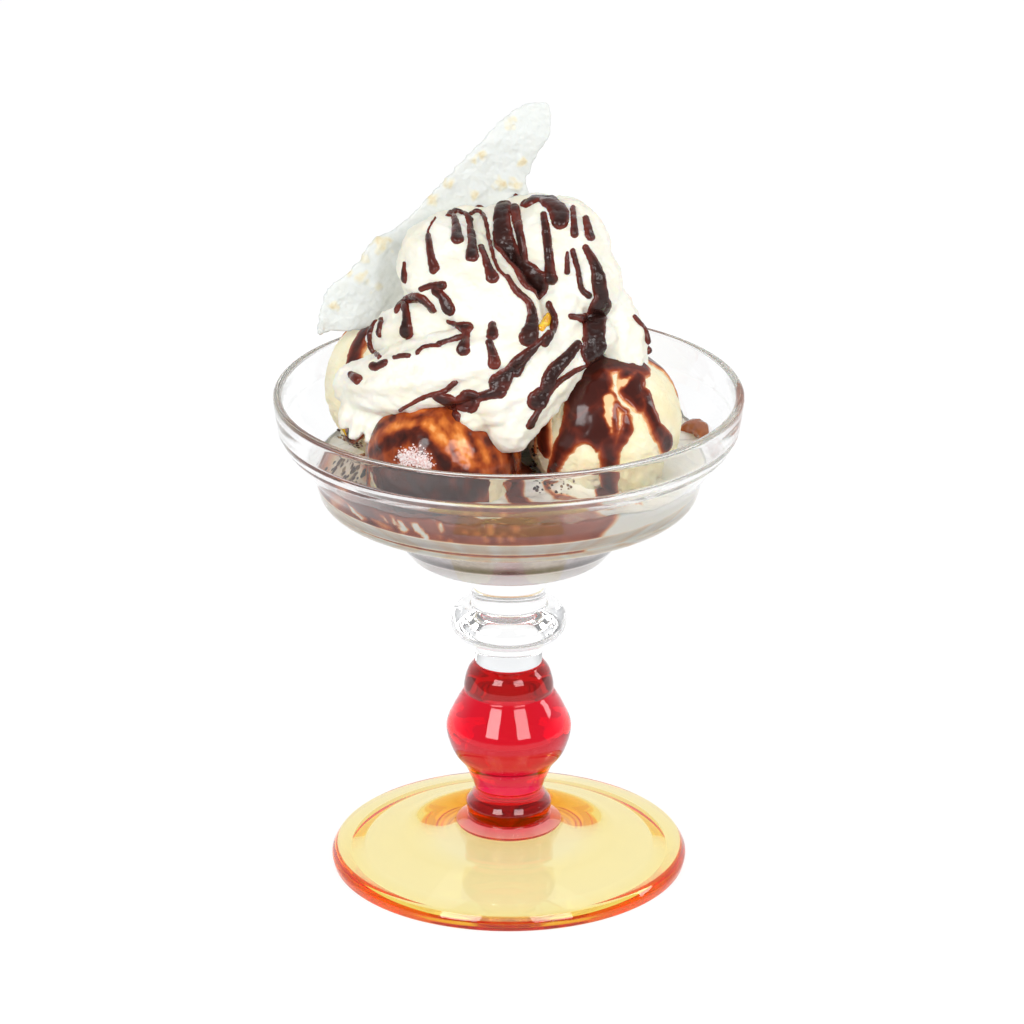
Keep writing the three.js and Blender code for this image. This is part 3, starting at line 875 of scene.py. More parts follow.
front_depth, front_shade = coated("scoop_front_left", FRONT_BARE, FRONT_DARK, FRONT_CARAMEL, FRONT_EDGE)
coat, depth = sauce_skin(balls["scoop_front_left"], front_depth, COAT_HEIGHT, COAT_ROUNDING, 0, smoothing=6)
shade = front_shade(coordinates(coat)) * np.clip(depth / 0.8 + 0.3, 0, 1)
finish(coat, "scoop_of_vanilla_front_sauce", glaze, "scoop_front_left", "chocolate_sauce", depth=shade)
front_ball_surface = BVHTree.FromBMesh(balls["scoop_front_left"])
finish(balls["scoop_front_left"], "scoop_of_vanilla_front", vanilla, "scoop_front_left",
       "vanilla_ice_cream")

# %% [markdown]
# Sugar has dried on the front of the glaze in a patch of pinkish crystals.
# Each one is a tiny block, and hundreds of them lie along a short run, more in
# the middle than at its ends. They are one mesh, because so many loose objects
# would only be slow.

# %% Sugar crystals
CRYSTAL_RUN = ([(-29.5, 121.5), (-26, 121), (-22.5, 119.5)], (3.9, 5.6, 3.4))
CRYSTAL_COUNT = 900
CRYSTAL_RISE = 0.45
CRYSTAL_SIZES = (0.22, 0.6)

dice = random.Random(7)
crystal_points, crystal_widths = poured(front_ball_surface, CRYSTAL_RUN[0]), CRYSTAL_RUN[1]
crystals = bmesh.new()
for _ in range(CRYSTAL_COUNT):
    t = dice.random() * (len(crystal_points) - 1)
    first = min(int(t), len(crystal_points) - 2)
    middle = crystal_points[first].lerp(crystal_points[first + 1], t - first)
    width = crystal_widths[first] + (crystal_widths[first + 1] - crystal_widths[first]) * (t - first)
    spread = Vector((dice.gauss(0, 1), dice.gauss(0, 1), dice.gauss(0, 1))) * width * 0.25
    place, normal = front_ball_surface.find_nearest(middle + spread)[:2]
    size = dice.uniform(*CRYSTAL_SIZES)
    turn = dice.uniform(0, 6)
    turned_by = Matrix.Rotation(turn, 4, Vector((dice.random(), dice.random(), 1)).normalized())
    shape = Matrix.Diagonal((size, size * 0.8, size * 0.7, 1))
    at = Matrix.Translation(place + normal * CRYSTAL_RISE) @ turned_by @ shape
    bmesh.ops.create_cube(crystals, size=1, matrix=at)
sugar = new_material("sugar crystals", Roughness=0.25, IOR=1.5, Subsurface_Weight=0.3,
                     Subsurface_Radius=(1.0, 0.7, 0.6), Subsurface_Scale=0.6 * MM)
link(sugar, ramp(sugar, object_noise(sugar, 1400, 2.0), [
    (0.3, srgb(224, 160, 150)), (0.5, srgb(246, 222, 218)), (0.7, srgb(255, 248, 246))]), "Base Color")
finish(crystals, "sugar_crystals", sugar, "scoop_front_left", "chocolate_sauce")

# %% [markdown]
# ## The two scoops behind
#
# The left scoop shows its pale flank and a broad run of sauce where the cream
# meets it. The fourth scoop is hidden by the cream from the front, and it is
# finished like the others: sauce over the top that runs down in drapes of
# uneven length.

# %% Back scoops
BACK_LEFT_RUNS = [
    ([(-39, 159), (-41, 154.5), (-42.5, 149.5), (-43, 145)], (5, 6.4, 6, 4)),
    ([(-42.5, 140), (-43, 135), (-42.5, 130), (-44, 126.5)], (6, 7.5, 6.5, 3.5)),
]
BACK_LEFT_THIN = [([(-39.5, 156), (-40, 151)], (1.4, 1))]
left_behind = [
    (around("scoop_back_left", 205, (82, 60, 36, 12, -4), -3), (12, 8, 5, 4, 5)),
    (around("scoop_back_left", 240, (82, 62, 44, 30)), (10, 5, 3.8, 4.4)),
    (around("scoop_back_left", 160, (82, 60, 34, 14), 4), (10, 8, 5, 4.6)),
]
dress_scoop("scoop_back_left", "scoop_of_vanilla_left",
            *over_a_ball("scoop_back_left", BACK_LEFT_RUNS, (), BACK_LEFT_THIN, left_behind))

hidden_runs = [
    (around("scoop_back_right", azimuth, elevations, drift), widths)
    for azimuth, elevations, drift, widths in (
        (180, (85, 62, 40, 18, 0), 2, (14, 11, 7, 4.6, 5)),
        (214, (85, 60, 42, 28), -3, (12, 6, 4, 4.6)),
        (146, (85, 58, 34, 8, -10), 3, (12, 8, 4.4, 3.6, 4.4)),
        (112, (85, 58, 30), 0, (12, 6, 4.6)),
    )
]
dress_scoop("scoop_back_right", "scoop_of_vanilla_behind",
            *over_a_ball("scoop_back_right", (), (), (), hidden_runs))

# %% [markdown]
# ## The pool of sauce
#
# Melted ice cream and sauce fill the bottom of the bowl. What can be seen of
# them is a picture on the glass: brown sauce for the most part, a window of
# melted vanilla at the right, and pale streaks at the left where the two have
# been stirred. The pool is turned from the bowl's own inside outline, a
# fraction into the wall, so that it looks wet against the glass with no film
# of air between. A thin film of sauce climbs the wall unevenly, and the surface
# is lower at the left.

# %% Shape of the pool
POOL_LEVEL = 123
INTO_WALL = 0.3
WALL_BEND = (TIER_RADIUS - 2.4, TIER_FLOOR + 8.9)
WALL_SLOPE = (RIM_RADIUS - 5 - WALL_BEND[0]) / (COLLAR_FOOT - 1.5 - WALL_BEND[1])
FILM_HEIGHT = 2.2
FILM_WIDTH = 2.2
LOW_AT_LEFT = 2.4
POOL_TURNS = 420
POOL_STEP = 0.8
FILM_IN_FRONT = 1.6
POOL_RIPPLE = 0.7
LEDGE_FROM = 38
LEDGE_WIDTH = 14
ROUND_THE_LEFT = [(-175, -68)]
HIGHER_IN_FRONT = [(-70, 40)]


def stepped(outline, step):
    """The same outline with points at most a step apart."""
    points = [Vector(outline[0])]
    for a, b in zip(outline, outline[1:]):
        count = max(1, math.ceil((Vector(b) - Vector(a)).length / step))
        points += [Vector(a).lerp(Vector(b), k / count) for k in range(1, count + 1)]
    return points


def azimuths(places):
    """Degrees round the glass: 0 in front, 90 at the right."""
    return np.degrees(np.arctan2(places[:, 0], -places[:, 1]))


def in_windows(angles, windows, soft):
    """1 inside any window of angles and 0 outside, with soft edges."""
    best = np.zeros(len(angles))
    for start, end in windows:
        middle, half = (start + end) / 2, (end - start) / 2
        off = np.abs((angles - middle + 180) % 360 - 180)
        best = np.maximum(best, np.clip((half - off) / soft + 0.5, 0, 1))
    return best


whole_side = rounded(hollow(-INTO_WALL) + [(RIM_RADIUS, RIM_HEIGHT)])[:-1]
wall_side = [p for p in whole_side if p.y <= WALL_BEND[1] + 0.5]
level_radius = WALL_BEND[0] + INTO_WALL + (POOL_LEVEL - WALL_BEND[1]) * WALL_SLOPE
pool_outline = stepped(wall_side + [(level_radius, POOL_LEVEL)], POOL_STEP)
pool_outline += stepped([
    (level_radius, POOL_LEVEL), (level_radius - FILM_WIDTH, POOL_LEVEL - 0.5), (0, POOL_LEVEL - 1),
], POOL_STEP)[1:]

pool = turned(pool_outline, POOL_TURNS)
places = coordinates(pool)
angles = azimuths(places)
reach = np.hypot(places[:, 0], places[:, 1])
flat_places = np.column_stack([places[:, 0], places[:, 1], 0 * reach])
climb = FILM_HEIGHT * (0.45 + 0.9 * noise_at(flat_places, 16, 7.0, 3))
climb += FILM_IN_FRONT * in_windows(angles, HIGHER_IN_FRONT, 30)
near_wall = np.clip((reach - level_radius + FILM_WIDTH) / FILM_WIDTH, 0, 1) ** 2
above_bend = np.clip((places[:, 2] - WALL_BEND[1]) / (POOL_LEVEL - WALL_BEND[1]), 0, 1) * near_wall
at_left = in_windows(angles, ROUND_THE_LEFT, 24)
climb -= (climb + LOW_AT_LEFT) * at_left
sunk = LOW_AT_LEFT * at_left * (1 - near_wall) * np.clip((reach - LEDGE_FROM) / LEDGE_WIDTH, 0, 1)
lift = above_bend * climb
on_top = places[:, 2] > POOL_LEVEL - 1.6
ripple = (1 - near_wall) * on_top * POOL_RIPPLE * noise_at(places, 6, 2.0, 3)
places[:, 2] += lift + ripple - sunk * on_top
places[:, 0] += lift * WALL_SLOPE * places[:, 0] / np.maximum(reach, 1)
places[:, 1] += lift * WALL_SLOPE * places[:, 1] / np.maximum(reach, 1)
move_to(pool, places)
print("the pool is", round(places[:, 2].max() - places[:, 2].min(), 1), "mm deep in all")

# %% [markdown]
# Three numbers at each point make the picture on the glass. The first says how
# milky the sauce is there: dark, caramel or pale. It also carries painted light:
# the underside of the ledge over the well is painted pale in place of the light
# that the glass ledge bends round from behind, and a few caramel drips in the
# middle are a painted reflection of the amber foot. The second number marks the
# well, which is painted in greys of light and shade, and the third how light the
# grey is. An image would do the same, but runs of real size can be moved and read.

# %% Picture of the pool
STIRRED_BROWN = [(-100, -32)]
VANILLA_WINDOWS = [(30, 148), (188, 268)]
# Painted glow: how pale the underside of the ledge is painted, for light that the glass carries round from
# behind.
PAINTED_GLOW_UNDER_LEDGE = 0.82
# Painted light and shade up the well: pale at the very bottom, a dark ring at the corner, pale in the
# middle, dark under the ledge.
WELL_LIGHT_AND_SHADE_UP = [(0, 1), (0.05, 0.05), (0.15, 0.2), (0.3, 0.76), (0.62, 0.86), (0.84, 0.4), (1, 0.05)]
POOL_PAINT = {
    "crumbly melted cream at the left": (0.72, 3.0, [
        ([(-49.5, 120), (-45.5, 116.5), (-41.5, 113.5)], (5.1, 7.3, 6.2)),
    ]),
    "melted vanilla": (0.93, 1.2, [
        ([(-37, 117), (-37, 114.5), (-37, 112)], (2.5, 3.9, 3.9)),
        ([(-3.5, 113), (-4, 110), (-4.5, 107.5)], (3.4, 6.2, 10.1)),
        ([(6, 113), (7.5, 110), (12, 108), (19, 107.5)], (4, 6.5, 5.4, 4.6)),
        ([(14, 112), (21, 110.5), (26, 109)], (5.4, 5.9, 4.4)),
        ([(33.5, 115.5), (39, 114.5), (47.5, 117.5)], (8.4, 8.4, 6.7)),
        ([(29.5, 107), (36, 110), (42, 114)], (3, 6, 8)),
    ]),
    "caramel": (0.5, 1.6, [
        ([(-42, 107.5), (-41, 106), (-39, 104.5)], (1.8, 2.6, 1.8)),
        ([(-36.5, 104), (-34.5, 102.5), (-32.5, 101.5)], (1.8, 2.6, 1.8)),
        ([(-45.5, 111), (-47, 109)], (3, 3)),
        # The short drips from here down to the one at 0.5 across are a painted reflection: caramel laid
        # where the amber foot is mirrored in the bottom of the bowl.
        ([(-12, 103), (-12, 100.5)], (1.6, 1.2)),
        ([(-8.5, 103), (-8.5, 100)], (2.2, 1.6)),
        ([(-5, 103), (-5, 100)], (1.6, 1.2)),
        ([(-1.5, 103), (-1.5, 100)], (2.2, 1.6)),
        ([(2, 102.5), (2, 100.5)], (1.6, 1.2)),
        ([(-6.5, 99), (-6, 97.5)], (1.1, 1.1)),
        ([(-2.5, 99), (-2.5, 97)], (1.4, 1.4)),
        ([(0.5, 99), (1, 97.5)], (1.1, 1.1)),
        ([(-18.5, 99), (-18.5, 98.5)], (0.8, 0.8)),
        ([(-16, 97.5), (-16, 97)], (0.8, 0.8)),
    ]),
    "pale streaks": (0.9, 0.8, [
        ([(-43, 108.5), (-42, 106.5), (-40, 104.5)], (1.0, 1.6, 1.0)),
        ([(-30, 104), (-28.5, 101.5), (-26.5, 98.5)], (1.4, 2.7, 1.6)),
        ([(-25.5, 103), (-24.5, 101), (-22.5, 98.5)], (2.0, 3.0, 1.9)),
        ([(-18.5, 103.5), (-18.5, 100)], (0.8, 0.8)),
        ([(-34, 105), (-33, 103.5)], (0.8, 0.8)),
        ([(-31.5, 105), (-31, 103)], (1.0, 1.0)),
    ]),
    "dark drapes": (-0.12, 1.0, [
        ([(0, 113), (1, 110.5), (3.5, 107.5)], (2.8, 3.9, 3.9)),
        ([(10.5, 112.5), (12.5, 112.5)], (2.2, 2.8)),
        ([(27, 116.5), (27.5, 113), (26.5, 110)], (5.6, 6.2, 5.2)),
    ]),
    "reddish wedge": (0.3, 0.8, [
        ([(25.5, 108), (29.5, 109), (33, 110), (36, 109.5)], (1.2, 2.5, 1.7, 0.8)),
    ]),
}

round_wall = np.column_stack([angles * 0.95, places[:, 2] * 0.28, 0 * angles])
edges_of_windows = 2 * noise_at(np.column_stack([places[:, 2] * 0.4, angles * 0.02, 0 * angles]), 3, 4.0, 2)
milk = 0.2 + 0.13 * noise_at(round_wall, 9.0, 5.0, 3) - 0.12 * in_windows(angles, STIRRED_BROWN, 20)
milk += (0.95 - milk) * in_windows(angles + edges_of_windows, VANILLA_WINDOWS, 3)
wobble = 0.5 * noise_at(places, 2.4, 12.0, 2)
pool_surface = BVHTree.FromBMesh(pool)
for amount, soft, runs in POOL_PAINT.values():
    cover = np.clip((within(places, laid(pool_surface, runs)) + wobble) / soft + 0.5, 0, 1)
    milk += (amount - milk) * cover
pool.normal_update()
# The underside of the ledge gets a painted glow with streaks in it, in place of light carried round through
# the glass.
facing_down = np.array([v.normal.z < -0.8 for v in pool.verts])
painted_glow_mask = facing_down & (reach > WELL_RADIUS + 7) & (places[:, 2] < TIER_FLOOR + LEDGE + 0.6)
streaky = 0.2 * noise_at(np.column_stack([angles, 0 * angles, 0 * angles]), 7.0, 3.0, 2)
milk = np.clip(np.where(painted_glow_mask, PAINTED_GLOW_UNDER_LEDGE + streaky, milk), 0, 1)

# The well is painted in greys of light and shade: pale at its very bottom and in its middle, with a dark
# ring at the bottom corner, a dark edge under the ledge and darker sides to the left and right.
well_top = TIER_FLOOR + LEDGE - 5.6
frost = np.clip((well_top - places[:, 2]) / 0.6 + 0.4 * noise_at(places, 1.2, 4.0), 0, 1)
up_the_well = np.clip((places[:, 2] - WELL_FLOOR - BASE) / (well_top - WELL_FLOOR - BASE), 0, 1)
ash = np.interp(up_the_well, *zip(*WELL_LIGHT_AND_SHADE_UP))
ash -= 0.16 * np.clip((np.abs(angles) - 15) / 45, 0, 1) * (np.abs(angles) < 120) * (up_the_well > 0.1)
ash += 0.12 * noise_at(places, 5.0, 14.0, 2) * (up_the_well > 0.1)
ash += 0.35 * noise_at(places, 0.9, 21.0, 2) * np.clip((up_the_well - 0.7) / 0.3, 0, 1)
ash = np.clip(ash, 0, 1)
print("pale share of the pool:", round(float(np.mean(milk > 0.7)), 2))

# %% [markdown]
# The material only reads those numbers. One ramp turns milkiness into brown,
# caramel or cream, another gives the painted greys of light and shade in the
# well, and the mark says which of the two is used.

# %% Material of the pool
melted = new_material("melted sauce", Roughness=0.22, IOR=1.4, Coat_Weight=0.3, Coat_Roughness=0.05,
                      Subsurface_Weight=0.15, Subsurface_Radius=(1.0, 0.5, 0.3), Subsurface_Scale=1.5 * MM)
stirred = math_node(melted, "MULTIPLY", object_noise(melted, 240, 4.0, 0.6, 0.8), 0.12)
brown = ramp(melted, math_node(melted, "ADD", attribute(melted, "milk"), stirred, clamp=True), [
    (0.0, srgb(62, 34, 29)), (0.1, srgb(126, 54, 40)), (0.3, srgb(180, 94, 66)), (0.5, srgb(218, 130, 78)),
    (0.72, srgb(246, 214, 174)), (0.95, srgb(255, 253, 242)),
])
grains = math_node(melted, "SUBTRACT", object_noise(melted, 900, 3.0), 0.5)
sandy = math_node(melted, "MULTIPLY", grains, 0.35)
frosted = ramp(melted, math_node(melted, "ADD", attribute(melted, "ash"), sandy, clamp=True), [
    (0.05, srgb(96, 84, 83)), (0.4, srgb(160, 148, 150)), (0.75, srgb(222, 212, 214)),
    (1.0, srgb(252, 248, 250)),
])
link(melted, mixed(melted, attribute(melted, "frost"), brown, frosted), "Base Color")
bumped(melted, object_noise(melted, 260, 3.0), 0.15)
finish(pool, "pool_of_sauce", melted, "sauce_pool", "chocolate_sauce", milk=milk, frost=frost, ash=ash)

# %% [markdown]
# A smear of caramel sauce has run up the right inside wall, above the pool. It
# is a small blob drawn out along the glass and pressed a little into it.

# %% Smear on the wall
SMEAR_RUN = [(48.2, 18.1, 118.5), (49.1, 19.4, 121), (50.7, 19.2, 122.8), (52.8, 16, 124.1),
             (54.4, 10.7, 124.3), (54, 6.4, 123)]
SMEAR_RADII = (1.6, 2.0, 2.3, 2.5, 2.1, 1.2)
SMEAR_STEPS = (32, 48)


def sausage(bm, points, radii, sides=20, rings=26):
    """A closed tube with round ends along a smooth path, with a radius at each of its points.
    It comes from a sphere: the middle of the sphere becomes the tube and its poles the ends."""
    rows = smooth_path([(*p, r) for p, r in zip(points, radii)], 61)
    made = bmesh.ops.create_uvsphere(bm, u_segments=sides, v_segments=rings, radius=1)["verts"]
    unit = np.array([v.co for v in made])
    share = np.arccos(np.clip(unit[:, 2], -1, 1)) / math.pi
    turn = np.arctan2(unit[:, 1], unit[:, 0])
    t = np.clip((share - 0.2) / 0.6, 0, 1)
    lean = (np.clip(share - 0.8, 0, 0.2) - np.clip(0.2 - share, 0, 0.2)) / 0.2 * math.pi / 2
    slopes = np.gradient(rows[:, :3], axis=0)
    slopes /= np.linalg.norm(slopes, axis=1)[:, None]
    where = np.linspace(0, 1, len(rows))
    pick = np.column_stack([np.interp(t, where, column) for column in np.hstack([rows, slopes]).T])
    centre, radius, ahead = pick[:, :3], pick[:, 3:4], pick[:, 4:]
    side = np.cross((0.31, 0.2, 1), ahead)
    side /= np.linalg.norm(side, axis=1)[:, None]
    up = np.cross(side, ahead)
    out = side * np.cos(turn)[:, None] + up * np.sin(turn)[:, None]
    places = centre + radius * (out * np.cos(lean)[:, None] + ahead * np.sin(lean)[:, None])
    for vertex, place in zip(made, places):
        vertex.co = place
    return made, t, turn, out


smear = bmesh.new()
sausage(smear, SMEAR_RUN, SMEAR_RADII, *SMEAR_STEPS)
bmesh.ops.recalc_face_normals(smear, faces=smear.faces)
places = coordinates(smear)
move_to(smear, places + 0.35 * noise_at(places, 2.4, 3.0, 2)[:, None])
finish(smear, "smear_of_sauce", sauce, "sauce_pool", "chocolate_sauce", depth=np.full(len(places), 0.17))

# %% [markdown]
# ## Whipped cream
#
# The cream was spooned on in folds: each is a soft swath that was laid over
# the last and pulled off to a tapering end. A fold is a tube along a few
# points with a fine ripple lengthwise, left by the spoon. Sculpting would give
# the same kind of form but could not be repeated.

# %% Folds of the cream
CREAM_FOLDS = {
    "core": ([(0, 2, 156), (0, 3, 167), (2, 3, 180)], (27, 26, 15)),
    "upper left fold": ([(-11, 6, 183), (-17, -4, 179.5), (-8, -15, 174), (2, -21, 170), (6, -25, 167)],
                        (9.5, 13.5, 12.5, 8.5, 4)),
    "top dome": ([(6, 6, 184), (13.5, -2, 181.5), (20, -6, 175)], (12, 15.5, 11)),
    "right fold": ([(20, 3, 177), (26, -4, 168), (30, -8, 160), (31, -11, 154)], (6, 7, 7.5, 7)),
    "small left fold": ([(-33, -1, 156.5), (-27, -8, 161), (-19, -14, 165), (-10, -18, 166)],
                        (6, 8.8, 9, 6)),
    "lower left swath": ([(-41.5, -11, 147), (-33, -18, 149.5), (-20, -24, 155), (-6, -27, 161),
                          (6, -26, 166)], (6.5, 9.5, 10.5, 9.5, 6)),
    "lower middle fold": ([(24, -15, 163), (16, -21, 160), (7.5, -27, 152), (0.5, -31.5, 142)],
                          (5, 6.5, 8, 6.5)),
    "lower middle ruffle": ([(6, -25, 158), (-3, -29, 150), (-9, -30, 146)], (8, 9, 6)),
    "middle tongue": ([(14, -12, 173), (14, -19, 168), (11, -24, 163), (9, -26, 160)], (7, 5.5, 4, 2.5)),
    "ragged edge, outer": ([(-40, -13, 146), (-43.5, -17, 141.5), (-45, -18.5, 138.5)], (4.5, 3, 1.6)),
    "ragged edge, second": ([(-36, -16, 145), (-40.5, -20, 139.5), (-42, -21.5, 136.5)], (4.5, 3, 1.5)),
    "ragged edge, third": ([(-31, -19, 146), (-36, -22.5, 139), (-37.5, -24, 136)], (5, 3.2, 1.7)),
    "ragged edge, fourth": ([(-26, -21, 148), (-29, -25, 140.5), (-30, -26.5, 136.5)], (5, 3.2, 1.8)),
    "ragged edge, fifth": ([(-20, -24, 151), (-24, -27, 143), (-25, -28.5, 139)], (5, 3, 1.5)),
    "back swath": ([(28, 8, 161), (20, 20, 158), (6, 27, 157), (-9, 26, 158), (-20, 19, 160)],
                   (7, 9.5, 10, 9, 6)),
    "back upper fold": ([(19, 10, 177), (6, 17, 175), (-8, 16, 177), (-16, 8, 181)], (8, 11, 10, 7)),
    "back tongue": ([(-8, 27, 154), (-12, 32, 148), (-14, 34, 143)], (8, 7, 4)),
}
print("folds:", len(CREAM_FOLDS))

# %% [markdown]
# The tubes are merged into one skin by a voxel remesh, which closes the seams
# as real cream does. A little smoothing and a slow noise make it soft again.

# %% Cream in one skin
FOLD_STEPS = (72, 64)
RIPPLE = 0.45
RIPPLES_ROUND = 9
VOXEL = 0.6


def one_skin(bm, voxel, smoothing):
    """Many closed shapes as one skin, by a voxel remesh, a little smoothed."""
    mesh = bpy.data.meshes.new("merging")
    bm.to_mesh(mesh)
    bm.free()
    piece = bpy.data.objects.new("merging", mesh)
    bpy.context.scene.collection.objects.link(piece)
    remesh = piece.modifiers.new("one skin", "REMESH")
    remesh.mode = "VOXEL"
    remesh.voxel_size = voxel
    merged = bmesh.new()
    merged.from_object(piece, bpy.context.evaluated_depsgraph_get())
    bpy.data.objects.remove(piece)
    bpy.data.meshes.remove(mesh)
    smooth(merged, smoothing)
    return merged


folds = bmesh.new()
for seed, (points, radii) in enumerate(CREAM_FOLDS.values()):
    made, t, turn, out = sausage(folds, points, radii, *FOLD_STEPS)
    size = np.interp(t, np.linspace(0, 1, len(radii)), radii)
    ripples = RIPPLE * np.sin(RIPPLES_ROUND * turn + 2.4 * t + seed) * np.clip(size / 9, 0.2, 1)
    lumps = 0.5 * noise_at(np.array([v.co for v in made]), 5.0, seed, 2)
    for vertex, way, amount in zip(made, out, ripples + lumps):
        vertex.co += Vector(way) * amount
bmesh.ops.recalc_face_normals(folds, faces=folds.faces)
cream = one_skin(folds, VOXEL, 3)

places = coordinates(cream)
normals = np.array([v.normal for v in cream.verts])
flow = 0.35 * noise_at(places * (1, 1, 1.6), 3.2, 1.0, 3) + 0.10 * noise_at(places, 1.2, 6.0)
move_to(cream, places + normals * flow[:, None])
cream.normal_update()
cream_surface = BVHTree.FromBMesh(cream)
print("the cream has", len(cream.faces), "faces")

# %% [markdown]
# ## Drizzle on the cream
#
# The drizzle was flicked across the cream and ran down in drops. Each stroke
# is a line of points with its widths, thin where it starts and fat where the
# drop stopped. The strokes are grouped by where they lie on the cream, so that
# one of them is easy to find and move.

# %% Strokes of drizzle
FRONT_STROKES = {
    "left drops": [
        ([(-28.5, 178.5), (-28.5, 174)], (0.8, 1.9)),
        ([(-20, 191.5), (-21.5, 189), (-22, 187)], (0.5, 0.5)),
        ([(-22, 186.5), (-21.5, 182), (-20.5, 177)], (1.4, 2.2)),
    ],
    "crown": [
        ([(-16.5, 194), (-14.5, 190.5), (-14, 185.5)], (1.1, 2.5)),
        ([(-16, 194), (-12.5, 193), (-10.5, 191)], (1.4, 1.4)),
        ([(-11, 191.5), (-10, 185.5), (-10, 180.5)], (1.9, 2.5)),
        ([(-10.5, 192.5), (-8.5, 193.5), (-6.5, 191.5), (-5, 183.5), (-3, 177), (-1, 174.5)], (1.1, 0.8)),
        ([(-7.5, 183), (-6, 178.5), (-4.5, 174.5)], (1.7, 2.5)),
    ],
    "big patch": [
        ([(-1.5, 195), (-2, 190.5), (-1, 183.5), (2, 178.5), (5.5, 172.5)], (3.9, 4.6, 5.4, 6.4, 7.2)),
        ([(1.5, 194.5), (2.5, 189.5), (4, 182), (4.5, 177)], (2.5, 2.2)),
        ([(-0.5, 174.5), (2, 170.5), (5.5, 167), (6.5, 162), (5.5, 157)], (1.4, 2, 2.4, 3, 3.6)),
    ],
    "top": [
        ([(4.5, 195.5), (8.5, 197), (13, 195), (14, 190.5)], (2.5, 5, 5.6, 3)),
        ([(9.5, 192.5), (10.5, 185), (11.5, 174)], (1.7, 2.5)),
    ],
    "right": [
        ([(17.5, 194.5), (18, 187)], (1.4, 1.7)),
        ([(21, 191.5), (22, 186.5)], (1.7, 2.5)),
        ([(16, 181.5), (16, 176)], (0.8, 1.4)),
        ([(17.5, 182), (19, 176), (20, 171), (22, 169)], (1.4, 1.4)),
        ([(21, 183), (24, 177), (25, 170.5), (26, 165)], (1.7, 3, 3.8, 3.6)),
        ([(25, 166.5), (23.5, 160.5), (23.5, 153)], (5, 6.1)),
        ([(17, 163), (21, 162.5), (25, 165)], (1.4, 3.3)),
        ([(34.5, 163), (37.5, 158.5), (38.5, 153), (39, 148.5)], (1.1, 2.5)),
    ],
    "left cluster": [
        ([(-21, 165.5), (-24.5, 168.5), (-28.5, 167.5), (-30.5, 165)], (3.1, 1.7)),
        ([(-28.5, 166.5), (-28, 162.5), (-28, 158.5)], (2.2, 2.8)),
        ([(-24, 171), (-21, 172), (-18, 172)], (1.4, 1.7)),
        ([(-20, 170.5), (-18, 168.5), (-16.5, 165)], (2.5, 2.5)),
        ([(-16.5, 161.5), (-14, 160.5), (-11.5, 159.5)], (1.1, 2.5)),
        ([(-35, 162), (-35.5, 158)], (1.4, 1.7)),
        ([(-37.5, 161.5), (-38, 154.5), (-35.5, 151)], (1.9, 1.1)),
    ],
    "seam": [
        ([(-31.5, 151), (-29.5, 151.5), (-27.5, 151.5)], (1.1, 1.1)),
        ([(-25, 152.5), (-23, 154), (-19, 154.5)], (1.4, 1.1)),
        ([(-19, 155), (-16, 156), (-13, 157)], (1.7, 1.4)),
        ([(-11.5, 158), (-12.5, 153.5)], (1.7, 2.5)),
        ([(-4.5, 160.5), (-4.5, 157.5)], (1.9, 2.2)),
        ([(-5.5, 155.5), (-4.5, 152.5), (-4, 149.5)], (1.7, 2.5)),
    ],
    "middle": [
        ([(10, 157), (6, 153), (1.5, 149), (-2.5, 143.5)], (1.1, 3.9)),
        ([(11, 158.5), (6.5, 153), (2, 147)], (1.1, 2.2)),
        ([(11, 166.5), (12.5, 162.5), (12, 159), (10, 155.5)], (1.7, 1.9)),
        ([(19, 155), (16, 151), (12, 146.5), (10.5, 142), (8, 138.5)], (2.2, 3, 3.6, 4, 4.2)),
        ([(22.5, 149.5), (17.5, 146.5), (13, 143), (9.5, 138), (7.5, 134), (6, 131)], (1.1, 1.7)),
    ],
    "bottom": [
        ([(-15, 143.5), (-18, 141), (-23, 139.5), (-30, 135.5)], (1.7, 0.8)),
        ([(-19.5, 139.5), (-15.5, 138), (-11, 138.5)], (2.8, 4.7)),
        ([(-11, 138.5), (-7.5, 139.5), (-2.5, 141)], (1.9, 2.5)),
        ([(-16, 137.5), (-14.5, 133.5)], (2.2, 2.5)),
        ([(-43.5, 146), (-41.5, 144.5)], (1.7, 1.9)),
        ([(-34, 149.5), (-36, 148.5), (-37.5, 148.5)], (1.9, 1.7)),
    ],
}
BEHIND = Vector((0, 1519, 711))
BACK_STROKES = [
    ([(-18, 184), (-20, 172), (-19, 166)], (1.8, 3)),
    ([(-8, 188), (-7, 176), (-9, 168)], (2.2, 3.4)),
    ([(15, 183), (18, 174), (17, 167)], (2, 3.4)),
    ([(2, 192), (3, 184), (1, 176), (2, 170)], (1.2, 1.6, 2.4)),
    ([(-24, 160), (-25, 154), (-22, 149)], (1.2, 2.4)),
    ([(6, 166), (9, 160), (8, 152)], (1.4, 2.6)),
    ([(22, 160), (24, 154)], (1.6, 2.6)),
    ([(-8, 158), (-12, 153), (-13, 147)], (1.4, 2.8)),
]
print("strokes:", sum(len(group) for group in FRONT_STROKES.values()), "in front and",
      len(BACK_STROKES), "behind")

# %% [markdown]
# The strokes lie on the cream as one raised skin, so that where two meet they
# flow together. Tubes laid on the cream would cross each other like wires.

# %% Drizzle
STRAND_STEP = 1.2
FULLER = 1.12
DROP_SHARE = 0.34
DROP_LENGTH = 2.0
DRIZZLE_HEIGHT = 0.95
DRIZZLE_ROUNDING = 1.1


